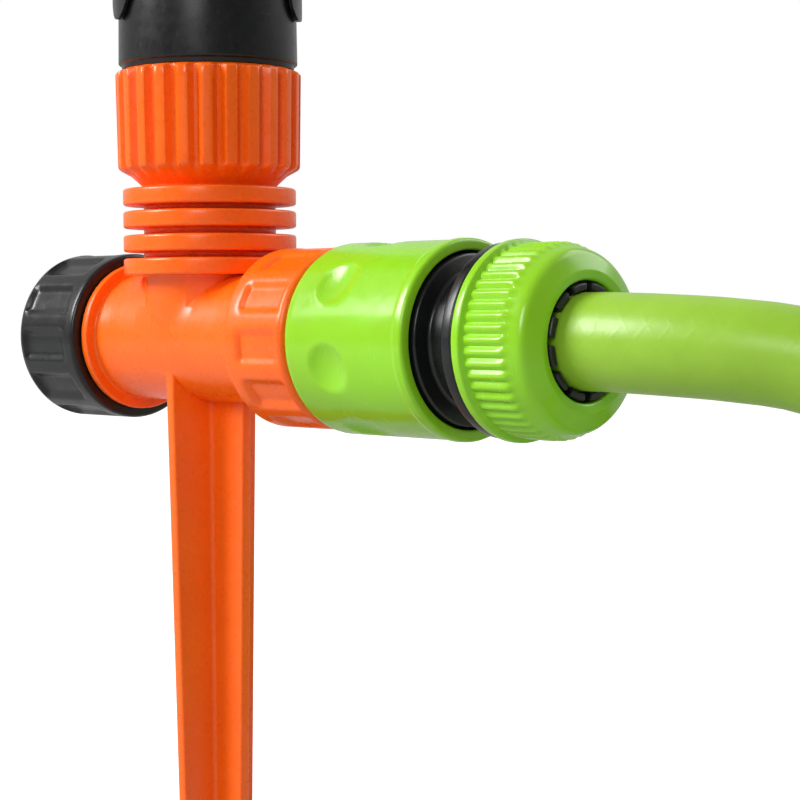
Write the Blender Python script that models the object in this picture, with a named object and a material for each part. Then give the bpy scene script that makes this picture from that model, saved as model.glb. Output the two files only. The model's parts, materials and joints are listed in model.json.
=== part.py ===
"""Garden sprinkler on a tee ground spike, with a quick hose connector, a leader hose and an impulse head.

Metres, +Z up. The origin is on the spike's axis at ground level. The tee's tube runs along X: its closed
end points to -X and its water inlet to +X. The turning head stands on the tee's ribbed collar.
"""

import math

import bmesh
import bpy
from mathutils import Matrix, Vector

MM = 0.001
GAP = 0.3 * MM  # between pieces that touch
RUN = 0.1 * MM  # radial play of a pin in its hole

# Ground spike and tee
TUBE_HEIGHT = 105 * MM  # from the ground to the tee tube's axis
SPIKE_DEPTH = 112 * MM  # from the ground down to the tip
SPIKE_TOP_REACH = 11.0 * MM  # fin's reach from the axis, under the tube
SPIKE_LOW_REACH = 6.6 * MM  # the same, above the tip
SPIKE_TIP_LENGTH = 26 * MM
FIN_THICKNESS = 2.3 * MM
BARREL_R = 13.0 * MM
BARREL_HALF = 21.6 * MM
END_FLANGE_R = 15.1 * MM
END_FLANGE_THICKNESS = 1.8 * MM
WATERWAY_R = 9.0 * MM
SPIGOT_LENGTH = 11.6 * MM
THREAD_R = 13.2 * MM  # crest of a 3/4 inch pipe thread
THREAD_DEPTH = 1.1 * MM
NECK_R = 13.2 * MM
RING_R = 17.2 * MM
RING_COUNT = 4
RING_PITCH = 4.6 * MM
RING_THICKNESS = 3.3 * MM
LOWEST_RING = 12.4 * MM  # above the tube's axis
COLLAR_LENGTH = 20.9 * MM
COLLAR_BASE_R = 17.3 * MM
COLLAR_RIB_COUNT = 24
COLLAR_RIB_HEIGHT = 1.0 * MM
SOCKET_DEPTH = 16.2 * MM
COLLAR_WALL_TOP = 1.2 * MM  # height of the flare under the ribs

# Screw cap and inlet nut: one grip pattern
GRIP_R = 17.1 * MM
GRIP_DEPTH = 0.9 * MM
GRIP_COUNT = 11
CAP_LENGTH = 19.5 * MM
NUT_LENGTH = 16.5 * MM
BAND = 3.2 * MM  # plain band at a nut's or cap's mouth
WASHER_THICKNESS = 1.6 * MM

# Quick connector, lengths along its own axis from its front end
SLEEVE_LENGTH = 31.0 * MM
SLEEVE_R = 17.7 * MM
SLEEVE_REAR_R = 15.76 * MM  # its rear opening
CONNECTOR_TUBE_R = 11.0 * MM
CONNECTOR_BORE_R = 8.8 * MM
FRONT_DISC_R = 15.3 * MM
REAR_DISC_R = 17.0 * MM
REAR_DISC_AT = 39.2 * MM
DISC_THICKNESS = 2.4 * MM
HOSE_NUT_AT = 41.9 * MM
HOSE_NUT_LENGTH = 15.5 * MM
HOSE_NUT_R = 16.7 * MM
HOSE_NUT_FLANGE_R = 17.5 * MM
HOSE_NUT_OPENING_R = 10.25 * MM
HOSE_THREAD_R = 12.4 * MM
HOSE_CUP_LENGTH = 9.0 * MM
COLLET_FINGERS = 12
COLLET_LENGTH = 5.4 * MM
NIPPLE_R = 8.3 * MM
NIPPLE_LENGTH = 22 * MM
CLAW_WIDTH = 6.0 * MM

# Hose
HOSE_D = 16.5 * MM
HOSE_BORE_R = 6.2 * MM
COIL_R = 82.5 * MM
COIL_CENTRE = Vector((180 * MM, 106 * MM, 0))
COIL_LAYERS = 2
TAIL_LENGTH = 74 * MM
TAIL_STEP = 8 * MM  # how far the far connector lies inside the coil's outermost line

# Turning head, heights above the collar's top
BASE_R = 17.77 * MM
BASE_HEIGHT = 16.3 * MM
BASE_SPIGOT = 13.2 * MM
BEARING_BORE_R = 8.3 * MM
BEARING_NECK_R = 11.0 * MM
ARC_COLLAR_HEIGHT = 4.0 * MM
TAB_R = 18.8 * MM
TAB_DROP = 10.5 * MM
TAB_HALF_ANGLE = 17
STOP_R = 23.0 * MM
LOWER_TAB_ANGLE = 36
UPPER_TAB_ANGLE = -110
BEARING_TUBE_R = 8.0 * MM
HUB_R = 14.0 * MM
HUB_HEIGHT = 14.0 * MM
HEAD_AZIMUTH = 85
JET_RISE = 25  # degrees above level
JET_TUBE_R = 8.6 * MM
JET_TUBE_REACH = 30 * MM
NOZZLE_LENGTH = 13 * MM
NOZZLE_R = 6.6 * MM
NOZZLE_BORE_R = 2.6 * MM
REAR_PORT_REACH = 17 * MM
BRIDGE_ANGLE = 36
BRIDGE_REACH = 17 * MM
BRIDGE_THICKNESS = 5.0 * MM
POST_SIZE = 6.0 * MM
ARM_PIN_R = 1.9 * MM
ARM_HUB_R = 6.0 * MM
ARM_CLEARANCE = 4.5 * MM  # arm's hub above the jet tube's highest point
ARM_HUB_HEIGHT = 10 * MM
ARM_SPRING_ROOM = 10 * MM  # between the arm's hub and the bridge
ARM_FRONT = 60 * MM
ARM_REAR = 46 * MM
LEVER_ANGLE = 250  # from the jet, about the head's axis
LEVER_SWING_R = 21 * MM
TRIP_PIN_R = 1.5 * MM

ORANGE = (1.0, 0.13, 0.01, 1)
BLACK = (0.02, 0.02, 0.022, 1)
GREEN = (0.38, 0.83, 0.04, 1)
HOSE_GREEN = (0.40, 0.68, 0.06, 1)
RUBBER = (0.03, 0.03, 0.03, 1)
STEEL = (0.62, 0.62, 0.64, 1)
WHITE = (0.85, 0.85, 0.82, 1)

ALONG_X = Matrix.Rotation(math.radians(90), 4, "Y")
ALONG_MINUS_X = Matrix.Rotation(math.radians(-90), 4, "Y")
UP = Matrix.Identity(4)

COLLAR_FOOT = LOWEST_RING + (RING_COUNT - 1) * RING_PITCH + RING_THICKNESS
COLLAR_TOP = TUBE_HEIGHT + COLLAR_FOOT + 2.2 * MM + COLLAR_LENGTH
SPIGOT_END = BARREL_HALF + END_FLANGE_THICKNESS + SPIGOT_LENGTH
# the head's heights are above its hub's foot
JET_LIFT = math.radians(JET_RISE)
JET_TOP = HUB_HEIGHT + 2 * MM + JET_TUBE_REACH * math.sin(JET_LIFT) + JET_TUBE_R * math.cos(JET_LIFT)
ARM_HEIGHT = JET_TOP + ARM_CLEARANCE
BRIDGE_HEIGHT = ARM_HEIGHT + ARM_HUB_HEIGHT + ARM_SPRING_ROOM + BRIDGE_THICKNESS
GRIP_MOUTH = BARREL_HALF + END_FLANGE_THICKNESS + GAP
SLEEVE_FRONT = GRIP_MOUTH + NUT_LENGTH + GAP


# ---------------------------------------------------------------- tools

def material(name, colour, roughness=0.4, metallic=0.0):
    made = bpy.data.materials.new(name)
    made.use_nodes = True
    shader = made.node_tree.nodes["Principled BSDF"]
    shader.inputs["Base Color"].default_value = colour
    shader.inputs["Roughness"].default_value = roughness
    shader.inputs["Metallic"].default_value = metallic
    made.diffuse_color = colour
    return made


def add(name, mesh, place, finish, smooth=True):
    """A mesh as an object with its own material."""
    if smooth:
        mesh.shade_smooth()
        mesh.set_sharp_from_angle(angle=math.radians(32))
    item = bpy.data.objects.new(name, mesh)
    item.matrix_world = place
    bpy.context.scene.collection.objects.link(item)
    item.data.materials.append(material(name, *finish))
    return item


def closed_mesh(name, shape):
    """A bmesh as a mesh whose faces point out."""
    bmesh.ops.recalc_face_normals(shape, faces=shape.faces)
    mesh = bpy.data.meshes.new(name)
    shape.to_mesh(mesh)
    shape.free()
    return mesh


def around(count):
    """Equal angles, none of them lifted."""
    return [(2 * math.pi * i / count, 0.0) for i in range(count)]


def teeth(count, share, start=0.0, round_share=0.18):
    """Angles of raised teeth, each with four corners: (angle, how far it is lifted)."""
    pitch = 2 * math.pi / count
    edges = []
    for i in range(count):
        middle = start + i * pitch
        half = pitch * share / 2
        slope = pitch * round_share / 2
        edges += [
            (middle - half - slope, 0.0),
            (middle - half + slope, 1.0),
            (middle + half - slope, 1.0),
            (middle + half + slope, 0.0),
        ]
    return edges


def turned_mesh(name, profile, angles):
    """A profile of (radius, height[, extra radius where lifted]) turned about Z, as one closed mesh.

    A profile that starts and ends on the axis has a flat disc at each end.
    """
    shape = bmesh.new()
    rows = []
    solid = profile[0][0] <= 0
    for point in profile[1:-1] if solid else profile:
        radius, height, extra = (*point, 0.0)[:3]
        rows.append(
            [
                shape.verts.new(
                    (
                        (radius + extra * lift) * math.cos(angle),
                        (radius + extra * lift) * math.sin(angle),
                        height,
                    )
                )
                for angle, lift in angles
            ]
        )
    for low, high in zip(rows, rows[1:] if solid else rows[1:] + rows[:1]):
        for i in range(len(angles)):
            j = (i + 1) % len(angles)
            shape.faces.new((low[i], low[j], high[j], high[i]))
    if solid:
        shape.faces.new(rows[0])
        shape.faces.new(rows[-1])
    return closed_mesh(name, shape)


def turned(name, profile, finish, place=UP, angles=None, segments=32):
    return add(name, turned_mesh(name, profile, angles or around(segments)), place, finish)


def tube_profile(inner, outer, low, high):
    return [(inner, low), (outer, low), (outer, high), (inner, high)]


def rod_profile(radius, low, high):
    return [(0, low), (radius, low), (radius, high), (0, high)]


def box_mesh(name, low, high):
    shape = bmesh.new()
    bmesh.ops.create_cube(shape, size=1.0)
    for vertex in shape.verts:
        vertex.co = [low[k] if vertex.co[k] < 0 else high[k] for k in range(3)]
    return closed_mesh(name, shape)


def prism_mesh(name, outline, thickness):
    """An outline of (x, z) points made thickness thick along Y, centred on it."""
    shape = bmesh.new()
    face = shape.faces.new([shape.verts.new((x, -thickness / 2, z)) for x, z in outline])
    side = bmesh.ops.extrude_face_region(shape, geom=[face])["geom"]
    moved = [item for item in side if isinstance(item, bmesh.types.BMVert)]
    bmesh.ops.translate(shape, verts=moved, vec=(0, thickness, 0))
    return closed_mesh(name, shape)


def helper(item):
    item.hide_render = True
    item.display_type = "WIRE"
    return item


def combine(target, tool, operation):
    """Joins a helper to a piece, or cuts it from the piece."""
    step = target.modifiers.new(tool.name, "BOOLEAN")
    step.operation = operation
    step.solver = "EXACT"
    step.object = helper(tool)


def join(target, *tools):
    for tool in tools:
        combine(target, tool, "UNION")


def cut(target, *tools):
    for tool in tools:
        combine(target, tool, "DIFFERENCE")


def smooth_route(points, spacing):
    """Points along a smooth curve through the route's own points, about spacing apart."""
    ends = [2 * points[0] - points[1], *points, 2 * points[-1] - points[-2]]
    fine = []
    for a, b, c, d in zip(ends, ends[1:], ends[2:], ends[3:]):
        for step in range(24):
            t = step / 24
            fine.append(
                0.5
                * (
                    2 * b
                    + (c - a) * t
                    + (2 * a - 5 * b + 4 * c - d) * t**2
                    + (3 * b - a - 3 * c + d) * t**3
                )
            )
    fine.append(points[-1])
    lengths = [0.0]
    for p, q in zip(fine, fine[1:]):
        lengths.append(lengths[-1] + (q - p).length)
    count = max(2, round(lengths[-1] / spacing) + 1)
    kept, k = [], 0
    for i in range(count):
        want = lengths[-1] * i / (count - 1)
        while k < len(fine) - 2 and lengths[k + 1] < want:
            k += 1
        share = (want - lengths[k]) / (lengths[k + 1] - lengths[k])
        kept.append(fine[k].lerp(fine[k + 1], min(1, share)))
    return kept


def swept(name, points, radius, finish, resolution=3):
    """A round bar along points, with closed ends."""
    curve = bpy.data.curves.new(name, "CURVE")
    curve.dimensions = "3D"
    curve.bevel_depth = radius
    curve.bevel_resolution = resolution
    curve.use_fill_caps = True
    spline = curve.splines.new("POLY")
    spline.points.add(len(points) - 1)
    for target, point in zip(spline.points, points):
        target.co = (*point, 1)
    item = bpy.data.objects.new(name, curve)
    bpy.context.scene.collection.objects.link(item)
    curve.materials.append(material(name, *finish))
    return item


def coil_spring(name, radius, wire, low, high, turns, finish, place=UP):
    """A compression spring about Z."""
    steps = 10
    points = []
    for i in range(int(turns * steps) + 1):
        angle = 2 * math.pi * i / steps
        height = low + wire + (high - low - 2 * wire) * i / (turns * steps)
        points.append(Vector((radius * math.cos(angle), radius * math.sin(angle), height)))
    item = swept(name, points, wire, finish, resolution=0)
    item.matrix_world = place
    return item


def at_height(height):
    return Matrix.Translation((0, 0, height))


def tube_axis(x):
    """Places a piece whose own axis is Z along the tee's tube, pointing to +X, starting at x."""
    return Matrix.Translation((x, 0, TUBE_HEIGHT)) @ ALONG_X


# ---------------------------------------------------------------- tee and spike

def collar_core():
    """Neck with its rings, the flare and the collar's wall, as heights above the tube's axis."""
    foot = COLLAR_FOOT + 0.5 * MM
    top = COLLAR_FOOT + 2.2 * MM + COLLAR_LENGTH
    inside = COLLAR_BASE_R - 0.6 * MM
    profile = [(0, 0), (NECK_R, 0)]
    for i in range(RING_COUNT):
        low = LOWEST_RING + i * RING_PITCH
        high = low + RING_THICKNESS
        profile += [(NECK_R, low), (RING_R, low), (RING_R, high), (NECK_R, high)]
    for i in range(1, 5):
        angle = math.radians(90 * i / 4)
        profile.append(
            (
                NECK_R + (inside - NECK_R) * (1 - math.cos(angle)) ** 0.8,
                foot + 4 * MM * math.sin(angle),
            )
        )
    profile += [(inside, top - 0.2 * MM), (0, top - 0.2 * MM)]
    return profile


def spike_mesh():
    """A tapering cross-shaped bar that ends in a point."""
    shape = bmesh.new()
    low_end = -SPIKE_DEPTH + SPIKE_TIP_LENGTH
    stations = [
        (TUBE_HEIGHT - 4 * MM, SPIKE_TOP_REACH, FIN_THICKNESS),
        (low_end, SPIKE_LOW_REACH, FIN_THICKNESS),
        (-SPIKE_DEPTH, 1.2 * MM, 0.8 * MM),
    ]
    rows = []
    for height, reach, thickness in stations:
        half = thickness / 2
        quarter = [(half, half), (half, reach), (-half, reach)]
        ring = []
        for turn in range(4):
            spin = Matrix.Rotation(math.radians(90 * turn), 3, "Z")
            ring += [shape.verts.new(spin @ Vector((x, y, height))) for x, y in quarter]
        rows.append(ring)
    for high, low in zip(rows, rows[1:]):
        for i in range(12):
            j = (i + 1) % 12
            shape.faces.new((high[i], high[j], low[j], low[i]))
    shape.faces.new(rows[0])
    shape.faces.new(rows[-1])
    return closed_mesh("spike_bar", shape)


def make_tee():
    orange = (ORANGE, 0.35)
    tee = turned("spike_body", collar_core(), orange, at_height(TUBE_HEIGHT), segments=36)
    ribs_low = COLLAR_FOOT + 2.2 * MM
    ribs_top = ribs_low + COLLAR_LENGTH
    wall = COLLAR_BASE_R - 2.2 * MM
    high = COLLAR_RIB_HEIGHT
    ribs = [
        (wall, ribs_low),
        (COLLAR_BASE_R - 0.6 * MM, ribs_low, 0.3 * high),
        (COLLAR_BASE_R, ribs_low + COLLAR_WALL_TOP, high),
        (COLLAR_BASE_R, ribs_top - 0.7 * MM, high),
        (COLLAR_BASE_R - 0.5 * MM, ribs_top, 0.4 * high),
        (wall, ribs_top),
    ]
    collar = turned(
        "collar_ribs", ribs, orange, at_height(TUBE_HEIGHT), angles=teeth(COLLAR_RIB_COUNT, 0.6)
    )
    flange = BARREL_HALF + END_FLANGE_THICKNESS
    half = [
        (BARREL_R, BARREL_HALF),
        (END_FLANGE_R, BARREL_HALF),
        (END_FLANGE_R, flange),
        (THREAD_R - THREAD_DEPTH, flange),
        (THREAD_R - THREAD_DEPTH, SPIGOT_END),
        (0, SPIGOT_END),
    ]
    tube = [(r, -x) for r, x in reversed(half)] + half
    barrel = turned("tee_tube", tube, orange, tube_axis(0), segments=36)
    spike = add("spike_bar", spike_mesh(), UP, orange, smooth=False)
    join(tee, collar, barrel, spike)

    bore = turned(
        "tube_bore",
        rod_profile(WATERWAY_R, -SPIGOT_END - MM, SPIGOT_END + MM),
        orange,
        tube_axis(0),
        segments=24,
    )
    floor = COLLAR_TOP - SOCKET_DEPTH
    socket_r = THREAD_R - THREAD_DEPTH / 2
    riser = [
        (0, TUBE_HEIGHT),
        (WATERWAY_R - 0.5 * MM, TUBE_HEIGHT),
        (WATERWAY_R - 0.5 * MM, floor),
        (socket_r, floor),
        (socket_r, COLLAR_TOP + MM),
        (0, COLLAR_TOP + MM),
    ]
    cut(tee, bore, turned("riser_bore", riser, orange, segments=24))
    return tee


# ---------------------------------------------------------------- cap and inlet nut

def grip_outline(length, closed_end):
    """Outside of a nut or cap from its mouth to its far end: plain band, then pads with flutes between."""
    low = GRIP_R - GRIP_DEPTH
    end = [(low - 0.9 * MM, length, 0.25 * GRIP_DEPTH)] if closed_end else [(low - 0.5 * MM, length)]
    return [
        (GRIP_R - 0.5 * MM, 0),
        (GRIP_R, 0.5 * MM),
        (GRIP_R, BAND),
        (low, BAND + 0.8 * MM, GRIP_DEPTH),
        (low, length - 1.6 * MM, GRIP_DEPTH),
        (low - 0.2 * MM, length - 0.6 * MM, 0.7 * GRIP_DEPTH),
        *end,
    ]


def make_end_cap():
    place = Matrix.Translation((-GRIP_MOUTH, 0, TUBE_HEIGHT)) @ ALONG_MINUS_X
    bore = THREAD_R + GAP
    depth = SPIGOT_LENGTH + GAP + WASHER_THICKNESS
    profile = [
        (0, depth),
        (bore, depth),
        (bore, 0),
        *grip_outline(CAP_LENGTH, True),
        (0, CAP_LENGTH),
    ]
    turned("end_cap", profile, (BLACK, 0.35), place, angles=teeth(GRIP_COUNT, 0.5, 0.3, 0.2))
    washer = tube_profile(
        WATERWAY_R, THREAD_R - THREAD_DEPTH, SPIGOT_LENGTH + GAP - GAP, depth - GAP
    )
    turned("cap_washer", washer, (RUBBER, 0.7), place, segments=24)


def make_inlet_nut():
    """Orange screw nut with the hose nipple in one moulding, its washer and its O-ring."""
    place = tube_axis(GRIP_MOUTH)
    bore = THREAD_R + GAP
    depth = SPIGOT_LENGTH + GAP + WASHER_THICKNESS
    water = NIPPLE_R - 3.4 * MM
    n = NUT_LENGTH
    groove = n + 3.2 * MM
    ring_at = n + 15.2 * MM
    profile = [
        (water, depth),
        (bore, depth),
        (bore, 0),
        *grip_outline(n, False),
        (NIPPLE_R, n),
        (NIPPLE_R, groove),
        (NIPPLE_R - 1.4 * MM, groove),
        (NIPPLE_R - 1.4 * MM, groove + 3.0 * MM),
        (NIPPLE_R, groove + 3.6 * MM),
        (NIPPLE_R, groove + 5.4 * MM),
        (NIPPLE_R - MM, groove + 6.6 * MM),
        (NIPPLE_R - MM, ring_at),
        (NIPPLE_R - 2.5 * MM, ring_at),
        (NIPPLE_R - 2.5 * MM, ring_at + 3 * MM),
        (NIPPLE_R - MM, ring_at + 3 * MM),
        (NIPPLE_R - MM, n + NIPPLE_LENGTH - 0.6 * MM),
        (NIPPLE_R - 1.8 * MM, n + NIPPLE_LENGTH),
        (water, n + NIPPLE_LENGTH),
    ]
    turned("inlet_nut", profile, (ORANGE, 0.35), place, angles=teeth(GRIP_COUNT, 0.5, -0.06, 0.2))
    washer = tube_profile(WATERWAY_R, THREAD_R - THREAD_DEPTH, SPIGOT_LENGTH, depth - GAP)
    turned("inlet_washer", washer, (RUBBER, 0.7), place, segments=24)
    wire = 1.15 * MM
    middle = NIPPLE_R - 2.5 * MM + wire + GAP
    ring = [
        (
            middle + wire * math.cos(math.radians(60 * k)),
            ring_at + 1.5 * MM + wire * math.sin(math.radians(60 * k)),
        )
        for k in range(6)
    ]
    turned("nipple_o_ring", ring, (RUBBER, 0.5), place, segments=20)


# ---------------------------------------------------------------- quick connector

def claw(name, place, side):
    """A locking claw whose tooth drops into the nipple's groove. side is -1 for the top one."""
    tooth, back = NIPPLE_R - 1.1 * MM, 10.55 * MM
    outline = [
        (3.3 * MM, tooth),
        (5.7 * MM, tooth),
        (5.7 * MM, CONNECTOR_BORE_R + GAP),
        (7.6 * MM, CONNECTOR_BORE_R + GAP),
        (7.6 * MM, back - MM),
        (5.0 * MM, back - MM),
        (5.0 * MM, back),
        (3.3 * MM, back),
    ]
    mesh = prism_mesh(name, [(side * z, x) for x, z in outline], CLAW_WIDTH)
    return add(name, mesh, place, (WHITE, 0.4), smooth=False)


def make_connector(prefix, place, segments):
    """A hose quick connector about its own axis (+Z towards the hose), with z = 0 at the sleeve's front."""
    green, black = (GREEN, 0.3), (BLACK, 0.3)
    s = SLEEVE_LENGTH
    grip = CONNECTOR_TUBE_R + GAP
    sleeve = [
        (grip + 1.5 * MM, 0),
        (SLEEVE_R - 1.2 * MM, 0),
        (SLEEVE_R, 1.2 * MM),
        (SLEEVE_R, s - 2.0 * MM),
        (SLEEVE_R + 0.25 * MM, s - 1.2 * MM),
        (SLEEVE_R - 0.2 * MM, s),
        (SLEEVE_REAR_R, s),
        (SLEEVE_REAR_R, 11.5 * MM),
        (grip, 10.5 * MM),
        (grip, 3.85 * MM),
        (grip + 1.5 * MM, 2.35 * MM),
    ]
    turned(prefix + "connector_sleeve", sleeve, green, place, segments=segments)

    front_disc = s - 1.9 * MM
    cup_r = HOSE_THREAD_R - 2.0 * MM
    cup_floor = HOSE_NUT_AT + 0.6 * MM
    cup_end = HOSE_NUT_AT + HOSE_CUP_LENGTH
    waterway = 4.9 * MM
    barb_end = cup_end + 0.4 * MM
    body = [
        (waterway, 24.5 * MM),
        (CONNECTOR_BORE_R, 24.5 * MM),
        (CONNECTOR_BORE_R, 0.6 * MM),
        (CONNECTOR_TUBE_R, 0.6 * MM),
        (CONNECTOR_TUBE_R, front_disc),
        (FRONT_DISC_R, front_disc),
        (FRONT_DISC_R, front_disc + DISC_THICKNESS),
        (CONNECTOR_TUBE_R + 0.5 * MM, front_disc + DISC_THICKNESS),
        (CONNECTOR_TUBE_R + 0.5 * MM, REAR_DISC_AT),
        (REAR_DISC_R, REAR_DISC_AT),
        (REAR_DISC_R, REAR_DISC_AT + DISC_THICKNESS),
        (HOSE_THREAD_R, REAR_DISC_AT + DISC_THICKNESS),
        (HOSE_THREAD_R, cup_end),
        (cup_r, cup_end),
        (cup_r, cup_floor),
        (HOSE_BORE_R - 0.4 * MM, cup_floor),
        (HOSE_BORE_R - 0.4 * MM, cup_end - 3.4 * MM),
        (HOSE_BORE_R + 0.3 * MM, barb_end),
        (waterway, barb_end),
    ]
    housing = turned(prefix + "connector_body", body, black, place, segments=segments)
    window = (CLAW_WIDTH / 2 + GAP, 12 * MM)
    slot = box_mesh("slot", (-window[1], -window[0], 3.0 * MM), (window[1], window[0], 7.9 * MM))
    cut(housing, add(prefix + "claw_windows", slot, place, black, smooth=False))
    claw(prefix + "claw_top", place, -1)
    claw(prefix + "claw_bottom", place, 1)

    coil_spring(
        prefix + "sleeve_spring",
        13.4 * MM,
        0.6 * MM,
        11.9 * MM,
        front_disc - GAP,
        5,
        (STEEL, 0.3, 1.0),
        place,
    )
    seal = tube_profile(waterway + 0.6 * MM, CONNECTOR_BORE_R - GAP, 22.6 * MM, 24.5 * MM - GAP)
    turned(prefix + "connector_seal", seal, (RUBBER, 0.6), place, segments=20)

    n, end = HOSE_NUT_AT, HOSE_NUT_AT + HOSE_NUT_LENGTH
    ribs_end = n + 10.2 * MM
    bore = HOSE_THREAD_R + GAP
    nut = [
        (bore, n),
        (HOSE_NUT_FLANGE_R, n),
        (HOSE_NUT_FLANGE_R, n + 1.7 * MM),
        (HOSE_NUT_R - 0.5 * MM, n + 2.2 * MM),
        (HOSE_NUT_R, ribs_end),
    ]
    for k in range(1, 4):
        angle = math.radians(90 * k / 3)
        face_r = HOSE_NUT_OPENING_R + 1.6 * MM
        nut.append(
            (
                face_r + (HOSE_NUT_R - face_r) * math.cos(angle),
                ribs_end + (end - ribs_end) * math.sin(angle),
            )
        )
    nut += [
        (HOSE_NUT_OPENING_R, end),
        (HOSE_NUT_OPENING_R, cup_end + 0.8 * MM),
        (bore, cup_end + GAP),
    ]
    turned(prefix + "hose_nut", nut, green, place, segments=segments)
    make_collet(prefix, place, cup_end + 1.0 * MM)


def make_collet(prefix, place, foot):
    """A ring with fingers that grips the hose inside the nut."""
    inner = HOSE_D / 2 + GAP
    outer = HOSE_NUT_OPENING_R - GAP
    ring = 1.2 * MM
    profile = [
        (inner, foot),
        (outer, foot),
        (outer, foot + COLLET_LENGTH),
        (inner, foot + COLLET_LENGTH),
    ]
    collet = turned(prefix + "collet", profile, (BLACK, 0.4), place, segments=36)
    shape = bmesh.new()
    width = 0.9 * MM
    for k in range(COLLET_FINGERS // 2):
        spin = Matrix.Rotation(math.pi * (k + 0.5) / (COLLET_FINGERS // 2), 4, "Z")
        new = bmesh.ops.create_cube(shape, size=1.0)["verts"]
        low, high = foot + ring + 0.01 * MM * k, foot + COLLET_LENGTH + MM
        for vertex in new:
            x, y, z = vertex.co
            vertex.co = spin @ Vector(
                (2 * (outer + MM) * x, 2 * width * y, low if z < 0 else high)
            )
    slots = add(prefix + "collet_slots", closed_mesh("slots", shape), place, (BLACK, 0.4), False)
    step = collet.modifiers.new("slots", "BOOLEAN")
    step.operation = "DIFFERENCE"
    step.solver = "EXACT"
    step.use_self = True
    step.object = helper(slots)


# ---------------------------------------------------------------- hose

def hose_start():
    return SLEEVE_FRONT + HOSE_NUT_AT + HOSE_CUP_LENGTH + 0.4 * MM + GAP


def make_hose():
    """The stretch to the coil, the coil's outer shape and the tail to the far connector."""
    start = hose_start()
    high = TUBE_HEIGHT
    near = [
        Vector((start, 0, high)),
        Vector((98.0 * MM, 0, high)),
        Vector((101.5 * MM, 0, high)),
        Vector((105.0 * MM, 0.1 * MM, high - 0.1 * MM)),
        Vector((113.0 * MM, 1.2 * MM, high - 0.4 * MM)),
        Vector((124.5 * MM, 4.5 * MM, high - 1.2 * MM)),
        Vector((135.0 * MM, 9.4 * MM, high - 3.0 * MM)),
        Vector((152.0 * MM, 14.9 * MM, high - 9.0 * MM)),
        Vector((172.0 * MM, 19.9 * MM, high - 19.5 * MM)),
        Vector((190.0 * MM, 24.2 * MM, high - 32.0 * MM)),
        Vector((208.2 * MM, 28.5 * MM, high - 45.5 * MM)),
        Vector((227.3 * MM, 38.4 * MM, high - 59.0 * MM)),
    ]
    finish = (HOSE_GREEN, 0.35)
    swept("hose", near[:1] + smooth_route(near[1:], 1.1 * HOSE_D), HOSE_D / 2, finish)
    half = HOSE_D / 2 + 0.2 * MM
    height = COIL_LAYERS * HOSE_D + GAP
    turned(
        "hose_coil",
        tube_profile(COIL_R - half, COIL_R + half, GAP, height + GAP),
        finish,
        Matrix.Translation(COIL_CENTRE),
        segments=48,
    )


def far_place():
    """The far connector lies on the ground behind the tee, its hose end towards +X."""
    lying = HOSE_NUT_FLANGE_R + 0.8 * MM
    tail_end = COIL_CENTRE.x - TAIL_LENGTH
    front = tail_end - HOSE_NUT_AT - HOSE_NUT_LENGTH
    return Matrix.Translation((front, COIL_CENTRE.y + COIL_R - TAIL_STEP, lying)) @ ALONG_X


def make_tail():
    place = far_place()
    origin = place.translation
    start = origin.x + HOSE_NUT_AT + HOSE_CUP_LENGTH + 0.4 * MM + GAP
    y = origin.y
    clear = COIL_R + HOSE_D / 2 + 0.5 * MM + HOSE_D / 2
    leave = COIL_CENTRE.x - math.sqrt(clear**2 - (y + MM - COIL_CENTRE.y) ** 2)
    points = [
        Vector((start, y, origin.z)),
        Vector((start + 7 * MM, y, origin.z)),
        Vector((start + 11 * MM, y, origin.z)),
        Vector((leave, y + 0.2 * MM, origin.z - 0.5 * MM)),
    ]
    tail = points[:1] + smooth_route(points[1:], 0.4 * HOSE_D)
    swept("hose_tail", tail, HOSE_D / 2, (HOSE_GREEN, 0.35))


# ---------------------------------------------------------------- head bearing and arc collars

def make_bearing():
    black = (BLACK, 0.35)
    socket_floor = COLLAR_TOP - SOCKET_DEPTH
    thread = THREAD_R - THREAD_DEPTH / 2 - GAP
    foot = COLLAR_TOP + GAP
    top = foot + BASE_HEIGHT
    neck_top = top + 2 * (ARC_COLLAR_HEIGHT + GAP) + 1.4 * MM
    spigot_end = foot - BASE_SPIGOT
    sleeve = [
        (BEARING_BORE_R, spigot_end),
        (thread, spigot_end),
        (thread, foot),
        (BASE_R - 0.9 * MM, foot),
        (BASE_R - 0.3 * MM, foot + 0.35 * MM),
        (BASE_R, foot + MM),
        (BASE_R, top),
        (BEARING_NECK_R, top),
        (BEARING_NECK_R, neck_top),
        (BEARING_BORE_R, neck_top),
    ]
    turned("bearing_sleeve", sleeve, black)
    flange = socket_floor + 0.5 * MM
    tube = [
        (BEARING_TUBE_R - 2.4 * MM, flange),
        (thread - 0.8 * MM, flange),
        (thread - 0.8 * MM, flange + 1.2 * MM),
        (BEARING_TUBE_R, flange + 1.2 * MM),
        (BEARING_TUBE_R, neck_top + 12 * MM),
        (BEARING_TUBE_R - 2.4 * MM, neck_top + 12 * MM),
    ]
    turned("bearing_tube", tube, (WHITE, 0.4), segments=24)
    washer = tube_profile(
        BEARING_BORE_R, thread - 0.8 * MM, flange + 1.2 * MM + GAP, spigot_end - GAP
    )
    turned("bearing_washer", washer, (RUBBER, 0.6), segments=24)
    seal = tube_profile(BEARING_BORE_R, BEARING_NECK_R, neck_top + GAP, neck_top + 1.4 * MM)
    turned("bearing_seal", seal, (WHITE, 0.5), segments=24)
    coil_spring(
        "bearing_spring",
        9.6 * MM,
        0.6 * MM,
        neck_top + 1.7 * MM,
        neck_top + 9.2 * MM,
        3,
        (STEEL, 0.3, 1.0),
    )
    return top, neck_top


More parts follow.
